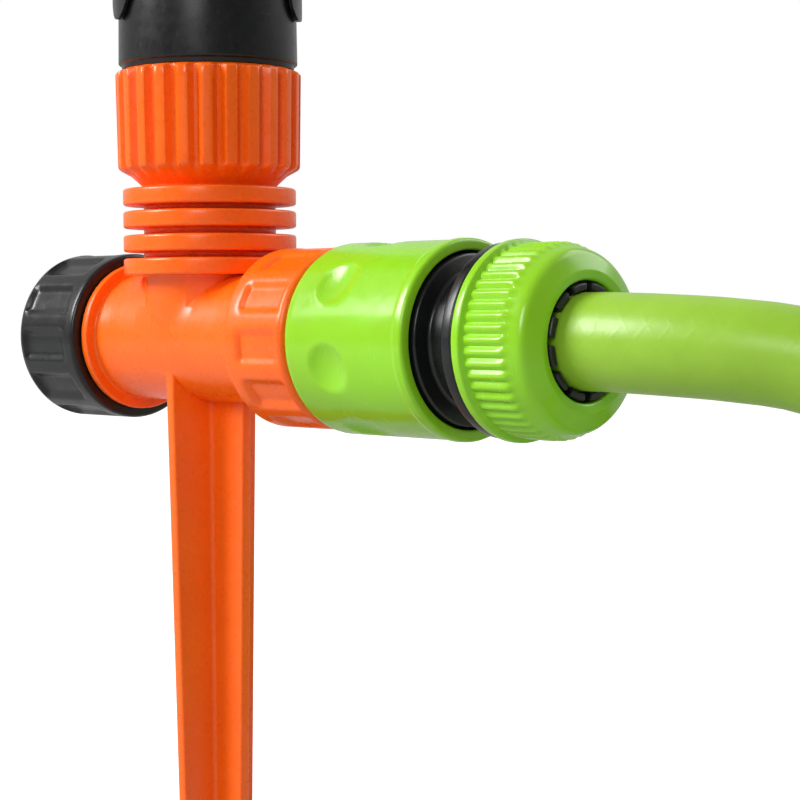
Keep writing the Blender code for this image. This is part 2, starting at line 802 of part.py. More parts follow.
def arc_tab_mesh(name, low, high, middle):
    """A petal on the collar's rim: a rounded tongue that hangs outside the base, and a stop above it."""
    shape = bmesh.new()
    inner, outer = BASE_R + GAP, TAB_R
    columns = 9
    rows = []
    for i in range(columns):
        share = 2 * i / (columns - 1) - 1
        angle = math.radians(middle + TAB_HALF_ANGLE * share)
        bottom = low + (high - low) * 0.62 * (1 - math.sqrt(1 - (0.97 * share) ** 2))
        rows.append(
            [
                shape.verts.new((r * math.cos(angle), r * math.sin(angle), z))
                for r, z in ((inner, bottom), (outer, bottom), (outer, high), (inner, high))
            ]
        )
    for a, b in zip(rows, rows[1:]):
        for k in range(4):
            shape.faces.new((a[k], a[(k + 1) % 4], b[(k + 1) % 4], b[k]))
    shape.faces.new(rows[0])
    shape.faces.new(rows[-1])
    return closed_mesh(name, shape)


def make_arc_collar(name, foot, angle, finish):
    """A friction ring on the bearing's neck, with its petal and stop."""
    ring = turned(
        name, tube_profile(BEARING_NECK_R + GAP, BASE_R, foot, foot + ARC_COLLAR_HEIGHT), finish
    )
    tab_low = COLLAR_TOP + GAP + BASE_HEIGHT - TAB_DROP + 3.5 * MM
    mesh = arc_tab_mesh(name + "_petal", tab_low, foot + ARC_COLLAR_HEIGHT - 0.4 * MM, angle)
    petal = add(name + "_petal", mesh, UP, finish)
    stop = box_mesh(
        name + "_stop",
        (BASE_R - 2 * MM, -1.6 * MM, foot + 0.2 * MM),
        (STOP_R, 1.6 * MM, foot + ARC_COLLAR_HEIGHT - 0.2 * MM),
    )
    turn = Matrix.Rotation(math.radians(angle), 4, "Z")
    bridge = box_mesh(
        name + "_root",
        (BASE_R - 2 * MM, -5 * MM, foot + 0.3 * MM),
        (TAB_R - 0.3 * MM, 5 * MM, foot + ARC_COLLAR_HEIGHT - 0.7 * MM),
    )
    join(
        ring,
        petal,
        add(name + "_root", bridge, turn, finish, False),
        add(name + "_stop", stop, turn, finish, False),
    )


# ---------------------------------------------------------------- turning head

def make_head(base_top, neck_top):
    """Everything that turns with the head. Its own +X points along the jet."""
    black = (BLACK, 0.35)
    head = Matrix.Rotation(math.radians(HEAD_AZIMUTH), 4, "Z")
    foot = base_top + 2 * (ARC_COLLAR_HEIGHT + GAP) + GAP
    spring_top = neck_top + 9.5 * MM
    hub = [
        (0, foot + HUB_HEIGHT + 6 * MM),
        (0, foot),
        (HUB_R, foot),
        (HUB_R, foot + HUB_HEIGHT - 2 * MM),
        (HUB_R - 2 * MM, foot + HUB_HEIGHT + 2 * MM),
        (8 * MM, foot + HUB_HEIGHT + 6 * MM),
    ]
    body = turned("rotor_body", hub, black, head)
    jet = jet_place(head, foot)
    tube = turned(
        "jet_tube",
        rod_profile(JET_TUBE_R, -5 * MM, JET_TUBE_REACH),
        black,
        jet,
        segments=28,
    )
    rear = head @ Matrix.Translation((0, 0, foot + HUB_HEIGHT)) @ ALONG_MINUS_X
    port = turned("rear_port", rod_profile(6.5 * MM, 0, REAR_PORT_REACH), black, rear, segments=24)
    post_turn = head @ Matrix.Rotation(math.radians(BRIDGE_ANGLE), 4, "Z")
    reach, half = BRIDGE_REACH, POST_SIZE / 2
    bridge_top = foot + BRIDGE_HEIGHT
    frame_outline = [
        (-reach - half, foot + 6 * MM),
        (reach + half, foot + 6 * MM),
        (reach + half, bridge_top - 4 * MM),
        (reach - half, bridge_top),
        (-reach + half, bridge_top),
        (-reach - half, bridge_top - 4 * MM),
    ]
    window_outline = [
        (-reach + half, foot + HUB_HEIGHT + 6 * MM),
        (reach - half, foot + HUB_HEIGHT + 6 * MM),
        (reach - half, bridge_top - BRIDGE_THICKNESS - 2 * MM),
        (reach - half - 2 * MM, bridge_top - BRIDGE_THICKNESS),
        (-reach + half + 2 * MM, bridge_top - BRIDGE_THICKNESS),
        (-reach + half, bridge_top - BRIDGE_THICKNESS - 2 * MM),
    ]
    frame = add("bridge", prism_mesh("bridge", frame_outline, POST_SIZE), post_turn, black, False)
    opening = prism_mesh("window", window_outline, 3 * POST_SIZE)
    cut(frame, add("window", opening, post_turn, black, False))
    hole_r, hole_floor = ARM_PIN_R + RUN, foot + ARM_HEIGHT - 6 * MM
    boss_profile = [
        (0, foot + HUB_HEIGHT + 2.5 * MM),
        (5.5 * MM, foot + HUB_HEIGHT + 2.5 * MM),
        (5.5 * MM, foot + ARM_HEIGHT - GAP),
        (hole_r, foot + ARM_HEIGHT - GAP),
        (hole_r, hole_floor),
        (0, hole_floor),
    ]
    boss = turned("pin_boss", boss_profile, black, head, segments=22)
    through = rod_profile(hole_r, bridge_top - BRIDGE_THICKNESS - 3 * MM, bridge_top + MM)
    pin_hole = turned("pin_hole", through, black, head, segments=20)
    cut(frame, pin_hole)
    lever_turn = head @ Matrix.Rotation(math.radians(LEVER_ANGLE), 4, "Z")
    pivot = foot + 6.5 * MM
    ear = box_mesh(
        "ear",
        (8 * MM, -3.5 * MM, pivot - 4 * MM),
        (LEVER_SWING_R - 1.8 * MM, 3.5 * MM, pivot + 4 * MM),
    )
    lever_ear = add("lever_ear", ear, lever_turn, black, False)
    trip_axis = lever_turn @ Matrix.Translation((0, 0, pivot)) @ ALONG_X
    blind = rod_profile(TRIP_PIN_R + RUN, 15 * MM, LEVER_SWING_R + MM)
    trip_hole = turned("trip_hole", blind, black, trip_axis, segments=16)
    cut(lever_ear, trip_hole)
    join(body, tube, port, frame, boss, lever_ear)

    seat = JET_TUBE_REACH - 9.3 * MM
    jet_bore = [
        (0, -5 * MM),
        (NOZZLE_R - 1.2 * MM, -5 * MM),
        (NOZZLE_R - 1.2 * MM, seat),
        (NOZZLE_R + GAP, seat),
        (NOZZLE_R + GAP, JET_TUBE_REACH + MM),
        (0, JET_TUBE_REACH + MM),
    ]
    water = turned("jet_bore", jet_bore, black, jet, segments=22)
    plug_seat = turned(
        "plug_seat", rod_profile(4.3 * MM, 9 * MM, REAR_PORT_REACH + MM), black, rear, segments=20
    )
    cup_r, tube_r = BEARING_NECK_R + GAP, BEARING_TUBE_R + GAP
    tube_seat = neck_top + 12 * MM + GAP
    cup = [
        (0, foot - MM),
        (cup_r, foot - MM),
        (cup_r, spring_top),
        (tube_r, spring_top),
        (tube_r, tube_seat),
        (0, tube_seat),
    ]
    cut(body, turned("bearing_cup", cup, black, head, segments=26), water, plug_seat)

    make_nozzle(jet, rear)
    make_arm(head, foot, bridge_top)
    make_trip_lever(lever_turn, pivot, trip_axis)
    return foot


def jet_place(head, foot):
    """The jet's own frame: +Z along the jet, from the head's axis."""
    rise = Matrix.Rotation(math.radians(90 - JET_RISE), 4, "Y")
    return head @ Matrix.Translation((0, 0, foot + HUB_HEIGHT + 2 * MM)) @ rise


def make_nozzle(jet, rear):
    orange, steel, black = (ORANGE, 0.35), (STEEL, 0.25, 1.0), (BLACK, 0.35)
    tip = JET_TUBE_REACH + NOZZLE_LENGTH - 8 * MM
    nozzle = turned(
        "main_nozzle",
        [
            (NOZZLE_R - 2.2 * MM, JET_TUBE_REACH - 8.8 * MM),
            (NOZZLE_R, JET_TUBE_REACH - 8.8 * MM),
            (NOZZLE_R, JET_TUBE_REACH + GAP),
            (NOZZLE_R + 0.6 * MM, JET_TUBE_REACH + GAP),
            (NOZZLE_R + 0.6 * MM, JET_TUBE_REACH + 3 * MM),
            (NOZZLE_R - 0.8 * MM, JET_TUBE_REACH + 3.6 * MM),
            (NOZZLE_BORE_R + 1.6 * MM, tip),
            (NOZZLE_BORE_R, tip),
        ],
        (GREEN, 0.35),
        jet,
        segments=24,
    )
    turned(
        "rear_plug",
        [
            (0, 9.3 * MM),
            (4.0 * MM, 9.3 * MM),
            (4.0 * MM, REAR_PORT_REACH + GAP),
            (5.6 * MM, REAR_PORT_REACH + GAP),
            (5.6 * MM, REAR_PORT_REACH + 2.4 * MM),
            (0, REAR_PORT_REACH + 2.4 * MM),
        ],
        black,
        rear,
        segments=20,
    )
    # Spray flap on a cross pin over the jet tube's end
    ear_at = JET_TUBE_REACH - 3.5 * MM
    pin_up = JET_TUBE_R + 2.6 * MM
    ears = []
    body = bpy.data.objects["rotor_body"]
    for side in (-1, 1):
        name = "flap_ear_" + ("left" if side < 0 else "right")
        low, high = sorted((side * 4.2 * MM, side * 6.4 * MM))
        mesh = box_mesh(
            name,
            (-pin_up - 2.2 * MM, low, ear_at - 2.4 * MM),
            (-JET_TUBE_R + 3.4 * MM, high, ear_at + 2.4 * MM),
        )
        ears.append(add(name, mesh, jet, black, False))
    join(body, *ears)
    flap_place = jet @ Matrix.Translation((-pin_up, 0, ear_at))
    across = flap_place @ Matrix.Rotation(math.radians(90), 4, "X")
    hole = turned("flap_hole", rod_profile(1.1 * MM, -8 * MM, 8 * MM), black, across, segments=16)
    cut(body, hole)
    turned("flap_pin", rod_profile(1.0 * MM, -7.4 * MM, 7.4 * MM), steel, across, segments=16)
    outline = [
        (-1.7 * MM, -1.7 * MM),
        (1.4 * MM, -1.9 * MM),
        (1.7 * MM, 1.5 * MM),
        (0.9 * MM, 7.0 * MM),
        (2.4 * MM, 11.0 * MM),
        (1.2 * MM, 11.4 * MM),
        (-0.6 * MM, 7.4 * MM),
        (-1.7 * MM, 1.9 * MM),
    ]
    tongue = prism_mesh("spray_flap", outline, 7.6 * MM)
    flap = add("spray_flap", tongue, flap_place, orange, False)
    bush = rod_profile(1.1 * MM, -8 * MM, 8 * MM)
    cut(flap, turned("flap_bush", bush, black, across, segments=16))


def make_arm(head, foot, bridge_top):
    """The swing arm on its pin, its spring and the cap over the pin."""
    orange, steel, black = (ORANGE, 0.35), (STEEL, 0.25, 1.0), (BLACK, 0.35)
    low = foot + ARM_HEIGHT
    high = low + ARM_HUB_HEIGHT
    turned(
        "arm_pin",
        rod_profile(ARM_PIN_R, foot + ARM_HEIGHT - 5.7 * MM, bridge_top + 2.6 * MM),
        steel,
        head,
        segments=20,
    )
    arm = turned(
        "swing_arm",
        tube_profile(ARM_PIN_R + RUN, ARM_HUB_R, low, high),
        orange,
        head,
        segments=28,
    )
    middle = low + ARM_HUB_HEIGHT / 2
    spoon = foot + HUB_HEIGHT + 2 * MM + ARM_FRONT * math.tan(math.radians(JET_RISE))
    beam = [
        (2.6 * MM, middle - 3.5 * MM),
        (14 * MM, middle - 3 * MM),
        (ARM_FRONT - 16 * MM, spoon + 1.5 * MM),
        (ARM_FRONT - 8 * MM, spoon - 8 * MM),
        (ARM_FRONT, spoon - 8 * MM),
        (ARM_FRONT + 3 * MM, spoon + 5 * MM),
        (ARM_FRONT - 4 * MM, spoon + 8 * MM),
        (ARM_FRONT - 18 * MM, spoon + 5 * MM),
        (14 * MM, middle + 3 * MM),
        (2.6 * MM, middle + 3.5 * MM),
    ]
    weight = [
        (-2.6 * MM, middle - 3.5 * MM),
        (-2.6 * MM, middle + 3.5 * MM),
        (-ARM_REAR + 16 * MM, middle + 3 * MM),
        (-ARM_REAR + 12 * MM, middle + 6.5 * MM),
        (-ARM_REAR, middle + 6.5 * MM),
        (-ARM_REAR, middle - 6.5 * MM),
        (-ARM_REAR + 12 * MM, middle - 6.5 * MM),
        (-ARM_REAR + 16 * MM, middle - 3 * MM),
    ]
    window = [
        (ARM_FRONT - 6.5 * MM, spoon - 5 * MM),
        (ARM_FRONT - 2.5 * MM, spoon - 5 * MM),
        (ARM_FRONT - 1.5 * MM, spoon + 3 * MM),
        (ARM_FRONT - 6.5 * MM, spoon + 4 * MM),
    ]
    front = add("arm_beam", prism_mesh("arm_beam", beam, 5 * MM), head, orange, False)
    spoon_wide = [
        (ARM_FRONT - 9 * MM, spoon - 7.4 * MM),
        (ARM_FRONT - 0.6 * MM, spoon - 7.4 * MM),
        (ARM_FRONT + 2 * MM, spoon + 4.6 * MM),
        (ARM_FRONT - 9 * MM, spoon + 6 * MM),
    ]
    paddle = add("arm_spoon", prism_mesh("arm_spoon", spoon_wide, 12 * MM), head, orange, False)
    back = add("arm_back", prism_mesh("arm_back", weight, 6 * MM), head, orange, False)
    hole = add("spoon_window", prism_mesh("spoon_window", window, 30 * MM), head, orange, False)
    join(arm, front, paddle, back)
    cut(arm, hole)
    coil_spring(
        "arm_spring",
        3.6 * MM,
        0.5 * MM,
        high + GAP,
        bridge_top - BRIDGE_THICKNESS - GAP,
        5,
        steel,
        head,
    )
    cap = [
        (0, bridge_top + 2.9 * MM),
        (ARM_PIN_R + GAP, bridge_top + 2.9 * MM),
        (ARM_PIN_R + GAP, bridge_top + GAP),
        (6.2 * MM, bridge_top + GAP),
        (6.2 * MM, bridge_top + 3.4 * MM),
        (5.0 * MM, bridge_top + 5 * MM),
        (0, bridge_top + 5 * MM),
    ]
    turned("arm_cap", cap, black, head, segments=28)


def make_trip_lever(lever_turn, pivot, trip_axis):
    """The lever that strikes the arc stops, on its radial pin."""
    outline = [
        (-2.2 * MM, -13.4 * MM),
        (2.2 * MM, -13.4 * MM),
        (3.4 * MM, 0),
        (2.4 * MM, 12 * MM),
        (4.6 * MM, 18 * MM),
        (-4.6 * MM, 18 * MM),
        (-2.4 * MM, 12 * MM),
        (-3.4 * MM, 0),
    ]
    thickness = 2.4 * MM
    out = LEVER_SWING_R - 1.8 * MM + GAP + thickness / 2
    side_on = lever_turn @ Matrix.Translation((out, 0, pivot)) @ Matrix.Rotation(math.radians(90), 4, "Z")
    blade = prism_mesh("trip_lever", outline, thickness)
    lever = add("trip_lever", blade, side_on, (BLACK, 0.35), False)
    hole = rod_profile(TRIP_PIN_R + RUN, 15 * MM, LEVER_SWING_R + 2.4 * MM)
    cut(lever, turned("lever_hole", hole, (BLACK, 0.35), trip_axis, segments=16))
    pin = [
        (0, 15.3 * MM),
        (TRIP_PIN_R, 15.3 * MM),
        (TRIP_PIN_R, LEVER_SWING_R + 1.2 * MM),
        (2.6 * MM, LEVER_SWING_R + 1.2 * MM),
        (2.6 * MM, LEVER_SWING_R + 2.2 * MM),
        (0, LEVER_SWING_R + 2.2 * MM),
    ]
    turned("trip_pin", pin, (STEEL, 0.25, 1.0), trip_axis, segments=16)


# ---------------------------------------------------------------- the whole sprinkler

def main():
    for item in list(bpy.data.objects):
        bpy.data.objects.remove(item)
    make_tee()
    make_end_cap()
    make_inlet_nut()
    make_connector("", tube_axis(SLEEVE_FRONT), 36)
    make_hose()
    make_tail()
    make_connector("far_", far_place(), 20)
    base_top, neck_top = make_bearing()
    lower = base_top + GAP
    make_arc_collar("arc_collar_lower", lower, LOWER_TAB_ANGLE, (BLACK, 0.35))
    upper = lower + ARC_COLLAR_HEIGHT + GAP
    make_arc_collar("arc_collar_upper", upper, UPPER_TAB_ANGLE, (BLACK, 0.35))
    make_head(base_top, neck_top)


main()
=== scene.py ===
"""Looks of the garden sprinkler: camera, light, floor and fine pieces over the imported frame."""

import json
import math

import bmesh
import bpy
from mathutils import Matrix, Vector

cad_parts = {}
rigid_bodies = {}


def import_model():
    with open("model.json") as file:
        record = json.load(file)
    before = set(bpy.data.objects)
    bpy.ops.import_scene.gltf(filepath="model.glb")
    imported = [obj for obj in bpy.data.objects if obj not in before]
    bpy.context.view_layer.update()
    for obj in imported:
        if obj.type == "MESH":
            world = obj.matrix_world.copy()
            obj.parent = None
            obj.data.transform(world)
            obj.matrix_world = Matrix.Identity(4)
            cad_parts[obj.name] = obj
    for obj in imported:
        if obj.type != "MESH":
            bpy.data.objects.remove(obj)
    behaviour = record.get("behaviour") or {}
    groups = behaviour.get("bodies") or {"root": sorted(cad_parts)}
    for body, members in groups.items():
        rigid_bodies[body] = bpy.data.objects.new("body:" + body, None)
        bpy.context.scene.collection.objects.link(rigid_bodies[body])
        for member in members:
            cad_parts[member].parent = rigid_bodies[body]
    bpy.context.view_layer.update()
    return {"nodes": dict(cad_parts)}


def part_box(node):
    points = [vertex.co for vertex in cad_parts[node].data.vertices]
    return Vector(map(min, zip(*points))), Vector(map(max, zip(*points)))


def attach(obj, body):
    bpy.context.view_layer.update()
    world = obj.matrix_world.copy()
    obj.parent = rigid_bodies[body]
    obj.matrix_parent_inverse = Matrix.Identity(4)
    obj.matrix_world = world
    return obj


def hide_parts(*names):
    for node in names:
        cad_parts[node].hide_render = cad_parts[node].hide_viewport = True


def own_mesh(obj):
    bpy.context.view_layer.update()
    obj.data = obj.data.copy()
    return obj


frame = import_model()

MM = 0.001
UP = Matrix.Identity(4)
ALONG_X = Matrix.Rotation(math.radians(90), 4, "Y")
ALONG_MINUS_X = Matrix.Rotation(math.radians(-90), 4, "Y")


def low(node):
    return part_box(node)[0]


def high(node):
    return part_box(node)[1]


def middle(node):
    return (low(node) + high(node)) / 2


TUBE_HEIGHT = middle("end_cap").z
GRIP_MOUTH = low("inlet_nut").x
SLEEVE_FRONT = low("connector_sleeve").x


# ---------------------------------------------------------------- camera

CAMERA_ANGLES = (-44.8825, -2.9333, -0.3648)  # azimuth, elevation and roll in degrees
CAMERA_LENS = 88.22
CAMERA_XY = (0.30513, -0.25275)
CAMERA_LIFT = 0.00721  # above the tube's axis

def make_camera():
    """A long lens a little above the tee's tube, looking along its diagonal."""
    azimuth, elevation, roll = (math.radians(a) for a in CAMERA_ANGLES)
    ahead = Vector(
        (
            math.sin(azimuth) * math.cos(elevation),
            math.cos(azimuth) * math.cos(elevation),
            math.sin(elevation),
        )
    )
    level = Vector((math.cos(azimuth), -math.sin(azimuth), 0))
    upward = level.cross(ahead)
    right = level * math.cos(roll) + upward * math.sin(roll)
    top = upward * math.cos(roll) - level * math.sin(roll)
    lens = bpy.data.cameras.new("camera")
    lens.sensor_width = 36
    lens.lens = CAMERA_LENS
    lens.clip_start = 0.01
    lens.clip_end = 60
    camera = bpy.data.objects.new("camera", lens)
    place = Matrix((right, top, -ahead)).transposed().to_4x4()
    place.translation = (*CAMERA_XY, TUBE_HEIGHT + CAMERA_LIFT)
    camera.matrix_world = place
    bpy.context.scene.collection.objects.link(camera)
    bpy.context.scene.camera = camera


# ---------------------------------------------------------------- material tools

def link(tree, source, target):
    tree.links.new(source, target)


def noise(tree, where, scale, detail=3.0, roughness=0.55):
    made = tree.nodes.new("ShaderNodeTexNoise")
    made.inputs["Scale"].default_value = scale
    made.inputs["Detail"].default_value = detail
    made.inputs["Roughness"].default_value = roughness
    link(tree, where, made.inputs["Vector"])
    return made.outputs["Fac"]


def ramp(tree, value, low_in, high_in, low_out, high_out):
    made = tree.nodes.new("ShaderNodeMapRange")
    made.inputs["From Min"].default_value = low_in
    made.inputs["From Max"].default_value = high_in
    made.inputs["To Min"].default_value = low_out
    made.inputs["To Max"].default_value = high_out
    link(tree, value, made.inputs["Value"])
    return made.outputs["Result"]


def arithmetic(tree, operation, a, b):
    made = tree.nodes.new("ShaderNodeMath")
    made.operation = operation
    for socket, value in zip(made.inputs, (a, b)):
        if isinstance(value, (int, float)):
            socket.default_value = value
        else:
            link(tree, value, socket)
    return made.outputs["Value"]


def mix(tree, share, a, b, blend="MIX"):
    made = tree.nodes.new("ShaderNodeMix")
    made.data_type = "RGBA"
    made.blend_type = blend
    colours = [s for s in made.inputs if s.type == "RGBA"]
    if isinstance(share, (int, float)):
        made.inputs["Factor"].default_value = share
    else:
        link(tree, share, made.inputs["Factor"])
    for socket, value in zip(colours, (a, b)):
        if isinstance(value, tuple):
            socket.default_value = (*value, 1)
        else:
            link(tree, value, socket)
    return next(s for s in made.outputs if s.type == "RGBA")


def tinted(colour, factor):
    return tuple(min(1.0, c * f) for c, f in zip(colour, factor))


def start_material(name):
    made = bpy.data.materials.new(name)
    made.use_nodes = True
    tree = made.node_tree
    shader = tree.nodes["Principled BSDF"]
    where = tree.nodes.new("ShaderNodeTexCoord").outputs["Object"]
    return made, tree, shader, where


def add_bump(tree, shader, parts):
    """Bump from several heights in metres: (value, distance)."""
    normal = None
    for value, distance in parts:
        bump = tree.nodes.new("ShaderNodeBump")
        bump.inputs["Strength"].default_value = 1.0
        bump.inputs["Distance"].default_value = distance
        link(tree, value, bump.inputs["Height"])
        if normal is not None:
            link(tree, normal, bump.inputs["Normal"])
        normal = bump.outputs["Normal"]
    link(tree, normal, shader.inputs["Normal"])


def scratches(tree, where, angle, scale=900):
    """Fine straight rub marks, 0 or up to 1."""
    turn = tree.nodes.new("ShaderNodeMapping")
    turn.inputs["Rotation"].default_value = angle
    turn.inputs["Scale"].default_value = (1.0, 0.035, 0.3)
    link(tree, where, turn.inputs["Vector"])
    lines = noise(tree, turn.outputs["Vector"], scale, 2.0, 0.6)
    return ramp(tree, lines, 0.66, 0.72, 0.0, 1.0)


def moulded(name, colour, roughness, glow=0.0, grain=0.004):
    """Injection-moulded plastic: flow marks, uneven gloss, fine grain, rub marks, worn edges, and
    painted shade that darkens the hollows.
    """
    made, tree, shader, where = start_material(name)
    flow = noise(tree, where, 55, 2.5)
    cloud = noise(tree, where, 420, 4.0)
    darker, lighter = tinted(colour, (0.97, 0.92, 0.9)), tinted(colour, (1.02, 1.06, 1.08))
    base = mix(tree, ramp(tree, flow, 0.35, 0.65, 0, 1), darker, lighter)
    base = mix(tree, ramp(tree, cloud, 0.3, 0.7, 0.0, 0.12), base, tinted(colour, (1.06, 1.15, 1.2)))
    rubs = scratches(tree, where, (0.4, 0.9, 0.3))
    more_rubs = scratches(tree, where, (1.3, 0.2, 1.9), 1100)
    marks = arithmetic(tree, "MAXIMUM", rubs, more_rubs)
    edge = tree.nodes.new("ShaderNodeNewGeometry").outputs["Pointiness"]
    worn = arithmetic(tree, "MULTIPLY", ramp(tree, edge, 0.53, 0.6, 0, 1), cloud)
    pale = tuple(min(1.0, c * 1.15 + 0.012) for c in colour)
    base = mix(tree, arithmetic(tree, "MULTIPLY", worn, 0.35), base, pale)
    # painted shade: hollows and creases (low pointiness) get a darker, redder tint, standing in for the
    # shade between rings and ribs
    hollow = ramp(tree, edge, 0.46, 0.38, 0.0, 0.35)
    base = mix(tree, hollow, base, tinted(colour, (0.95, 0.55, 0.5)))
    link(tree, base, shader.inputs["Base Color"])
    gloss = ramp(tree, cloud, 0.25, 0.75, roughness - 0.05, roughness + 0.07)
    gloss = arithmetic(tree, "ADD", gloss, arithmetic(tree, "MULTIPLY", marks, 0.10))
    link(tree, gloss, shader.inputs["Roughness"])
    shader.inputs["IOR"].default_value = 1.48
    if glow:
        shader.inputs["Subsurface Weight"].default_value = glow
        shader.inputs["Subsurface Radius"].default_value = tuple(0.25 + c for c in colour)
        shader.inputs["Subsurface Scale"].default_value = 0.0012
    fine = noise(tree, where, 2600, 2.0)
    wave = noise(tree, where, 95, 1.0)
    add_bump(tree, shader, [(wave, 0.00010), (fine, grain * MM), (marks, -0.000006)])
    return made


def rubbery(name, colour, roughness=0.62):
    made, tree, shader, where = start_material(name)
    cloud = noise(tree, where, 380, 4.0)
    base = mix(tree, ramp(tree, cloud, 0.35, 0.7, 0, 1), colour, tuple(c * 1.9 + 0.01 for c in colour))
    link(tree, base, shader.inputs["Base Color"])
    rough = ramp(tree, cloud, 0.3, 0.7, roughness - 0.08, roughness + 0.1)
    link(tree, rough, shader.inputs["Roughness"])
    add_bump(tree, shader, [(noise(tree, where, 1900, 3.0), 0.00001)])
    return made


def drawn_steel(name, colour=(0.62, 0.61, 0.60), roughness=0.24):
    """Steel with fine drawing lines and a slight stain."""
    made, tree, shader, where = start_material(name)
    stain = noise(tree, where, 240, 4.0)
    base = mix(tree, ramp(tree, stain, 0.45, 0.7, 0, 1), colour, tinted(colour, (0.8, 0.74, 0.66)))
    link(tree, base, shader.inputs["Base Color"])
    shader.inputs["Metallic"].default_value = 1.0
    lines = scratches(tree, where, (0.1, 0.2, 0.0), 1500)
    rough = arithmetic(
        tree, "ADD", ramp(tree, stain, 0.3, 0.7, roughness - 0.06, roughness + 0.12),
        arithmetic(tree, "MULTIPLY", lines, 0.12),
    )
    link(tree, rough, shader.inputs["Roughness"])
    add_bump(tree, shader, [(lines, 0.000004), (noise(tree, where, 1800, 2.0), 0.000004)])
    return made


def hose_material():
    """Soft green PVC with the braid under its skin showing as faint diamonds."""
    made, tree, shader, where = start_material("hose_pvc")
    round_and_along = tree.nodes.new("ShaderNodeUVMap")
    round_and_along.uv_map = "round_and_along"
    split = tree.nodes.new("ShaderNodeSeparateXYZ")
    link(tree, round_and_along.outputs["UV"], split.inputs["Vector"])
    turn, along = split.outputs["X"], split.outputs["Y"]
    threads = []
    for way in (1, -1):
        helix = arithmetic(
            tree, "ADD", arithmetic(tree, "MULTIPLY", turn, 9.0),
            arithmetic(tree, "MULTIPLY", along, way * 9.0 / 0.034),
        )
        wave = arithmetic(tree, "SINE", arithmetic(tree, "MULTIPLY", helix, 2 * math.pi), 0)
        threads.append(ramp(tree, wave, 0.72, 0.98, 0.0, 1.0))
    braid = arithmetic(tree, "MAXIMUM", *threads)
    cloud = noise(tree, where, 130, 4.0)
    colour = (0.27, 0.50, 0.030)
    darker, lighter = tinted(colour, (0.95, 0.96, 0.9)), tinted(colour, (1.05, 1.03, 1.1))
    base = mix(tree, ramp(tree, cloud, 0.3, 0.7, 0, 1), darker, lighter)
    base = mix(tree, arithmetic(tree, "MULTIPLY", braid, 0.10), base, tinted(colour, (1.2, 1.12, 1.5)))
    link(tree, base, shader.inputs["Base Color"])
    rubs = scratches(tree, where, (0.2, 1.1, 0.5), 700)
    uneven = ramp(tree, cloud, 0.3, 0.7, 0.30, 0.42)
    rough = arithmetic(tree, "ADD", uneven, arithmetic(tree, "MULTIPLY", rubs, 0.1))
    link(tree, rough, shader.inputs["Roughness"])
    shader.inputs["Subsurface Weight"].default_value = 0.06
    shader.inputs["Subsurface Radius"].default_value = (0.6, 1.0, 0.2)
    shader.inputs["Subsurface Scale"].default_value = 0.0015
    add_bump(tree, shader, [(braid, 0.000010), (noise(tree, where, 900, 3.0), 0.000012)])
    return made


ORANGE = moulded("orange_moulding", (1.0, 0.132, 0.0025), 0.28, glow=0.05)
GREEN = moulded("green_moulding", (0.262, 0.60, 0.015), 0.20, glow=0.05)
BLACK = moulded("black_moulding", (0.0055, 0.0058, 0.0065), 0.30)
BLACK_SATIN = moulded("black_satin", (0.0100, 0.0103, 0.0110), 0.38)
ACETAL = moulded("white_acetal", (0.72, 0.71, 0.66), 0.42, glow=0.1)
RUBBER = rubbery("black_rubber", (0.016, 0.016, 0.016))
STEEL = drawn_steel("spring_steel")
HOSE = hose_material()


# ---------------------------------------------------------------- mesh tools

def mesh_object(name, mesh, place=UP, angle=38):
    mesh.transform(place)
    mesh.shade_smooth()
    mesh.set_sharp_from_angle(angle=math.radians(angle))
    item = bpy.data.objects.new(name, mesh)
    bpy.context.scene.collection.objects.link(item)
    return item


def from_bmesh(name, shape):
    bmesh.ops.recalc_face_normals(shape, faces=shape.faces)
    mesh = bpy.data.meshes.new(name)
    shape.to_mesh(mesh)
    shape.free()
    return mesh


def finish(item, body, material, *nodes, slot=None):
    """Gives a piece its material and its body, and hides the CAD nodes it stands for; the slot argument
    is not used.
    """
    item.data.materials.clear()
    item.data.materials.append(material)
    for face in item.data.polygons:
        face.material_index = 0
    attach(item, body)
    if nodes:
        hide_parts(*nodes)
    slot or nodes[0]
    return item


def smoothstep(value, first, last):
    t = min(1.0, max(0.0, (value - first) / (last - first)))
    return t * t * (3 - 2 * t)


def rounded(corners, steps=4):
    """A closed outline from corners (across, along[, fillet]): each fillet becomes an arc."""
    out = []
    count = len(corners)
    for i, corner in enumerate(corners):
        point = Vector(corner[:2])
        fillet = corner[2] if len(corner) > 2 else 0
        before, after = Vector(corners[i - 1][:2]), Vector(corners[(i + 1) % count][:2])
        if fillet <= 0:
            out.append(tuple(point))
            continue
        u, v = before - point, after - point
        reach = 0.49 * min(u.length, v.length)
        u, v = u.normalized(), v.normalized()
        half = u.angle(v) / 2
        if half > math.radians(88):
            out.append(tuple(point))
            continue
        back = min(fillet / math.tan(half), reach)
        radius = back * math.tan(half)
        centre = point + (u + v).normalized() * (radius / math.sin(half))
        first, last = point + u * back - centre, point + v * back - centre
        begin = math.atan2(first.y, first.x)
        turn = math.atan2(last.y, last.x) - begin
        turn = (turn + math.pi) % (2 * math.pi) - math.pi
        for k in range(steps + 1):
            angle = begin + turn * k / steps
            out.append((centre.x + radius * math.cos(angle), centre.y + radius * math.sin(angle)))
    return out


def finer(outline, step, below=None, above=None):
    """Splits the outline's long sides, between two heights if they are given."""
    out = []
    for a, b in zip(outline, outline[1:] + outline[:1]):
        out.append(a)
        length = math.dist(a, b)
        inside = below is None or max(a[1], b[1]) > below
        inside = inside and (above is None or min(a[1], b[1]) < above)
        if inside and length > step:
            pieces = math.ceil(length / step)
            for k in range(1, pieces):
                out.append(tuple(a[j] + (b[j] - a[j]) * k / pieces for j in range(2)))
    return out


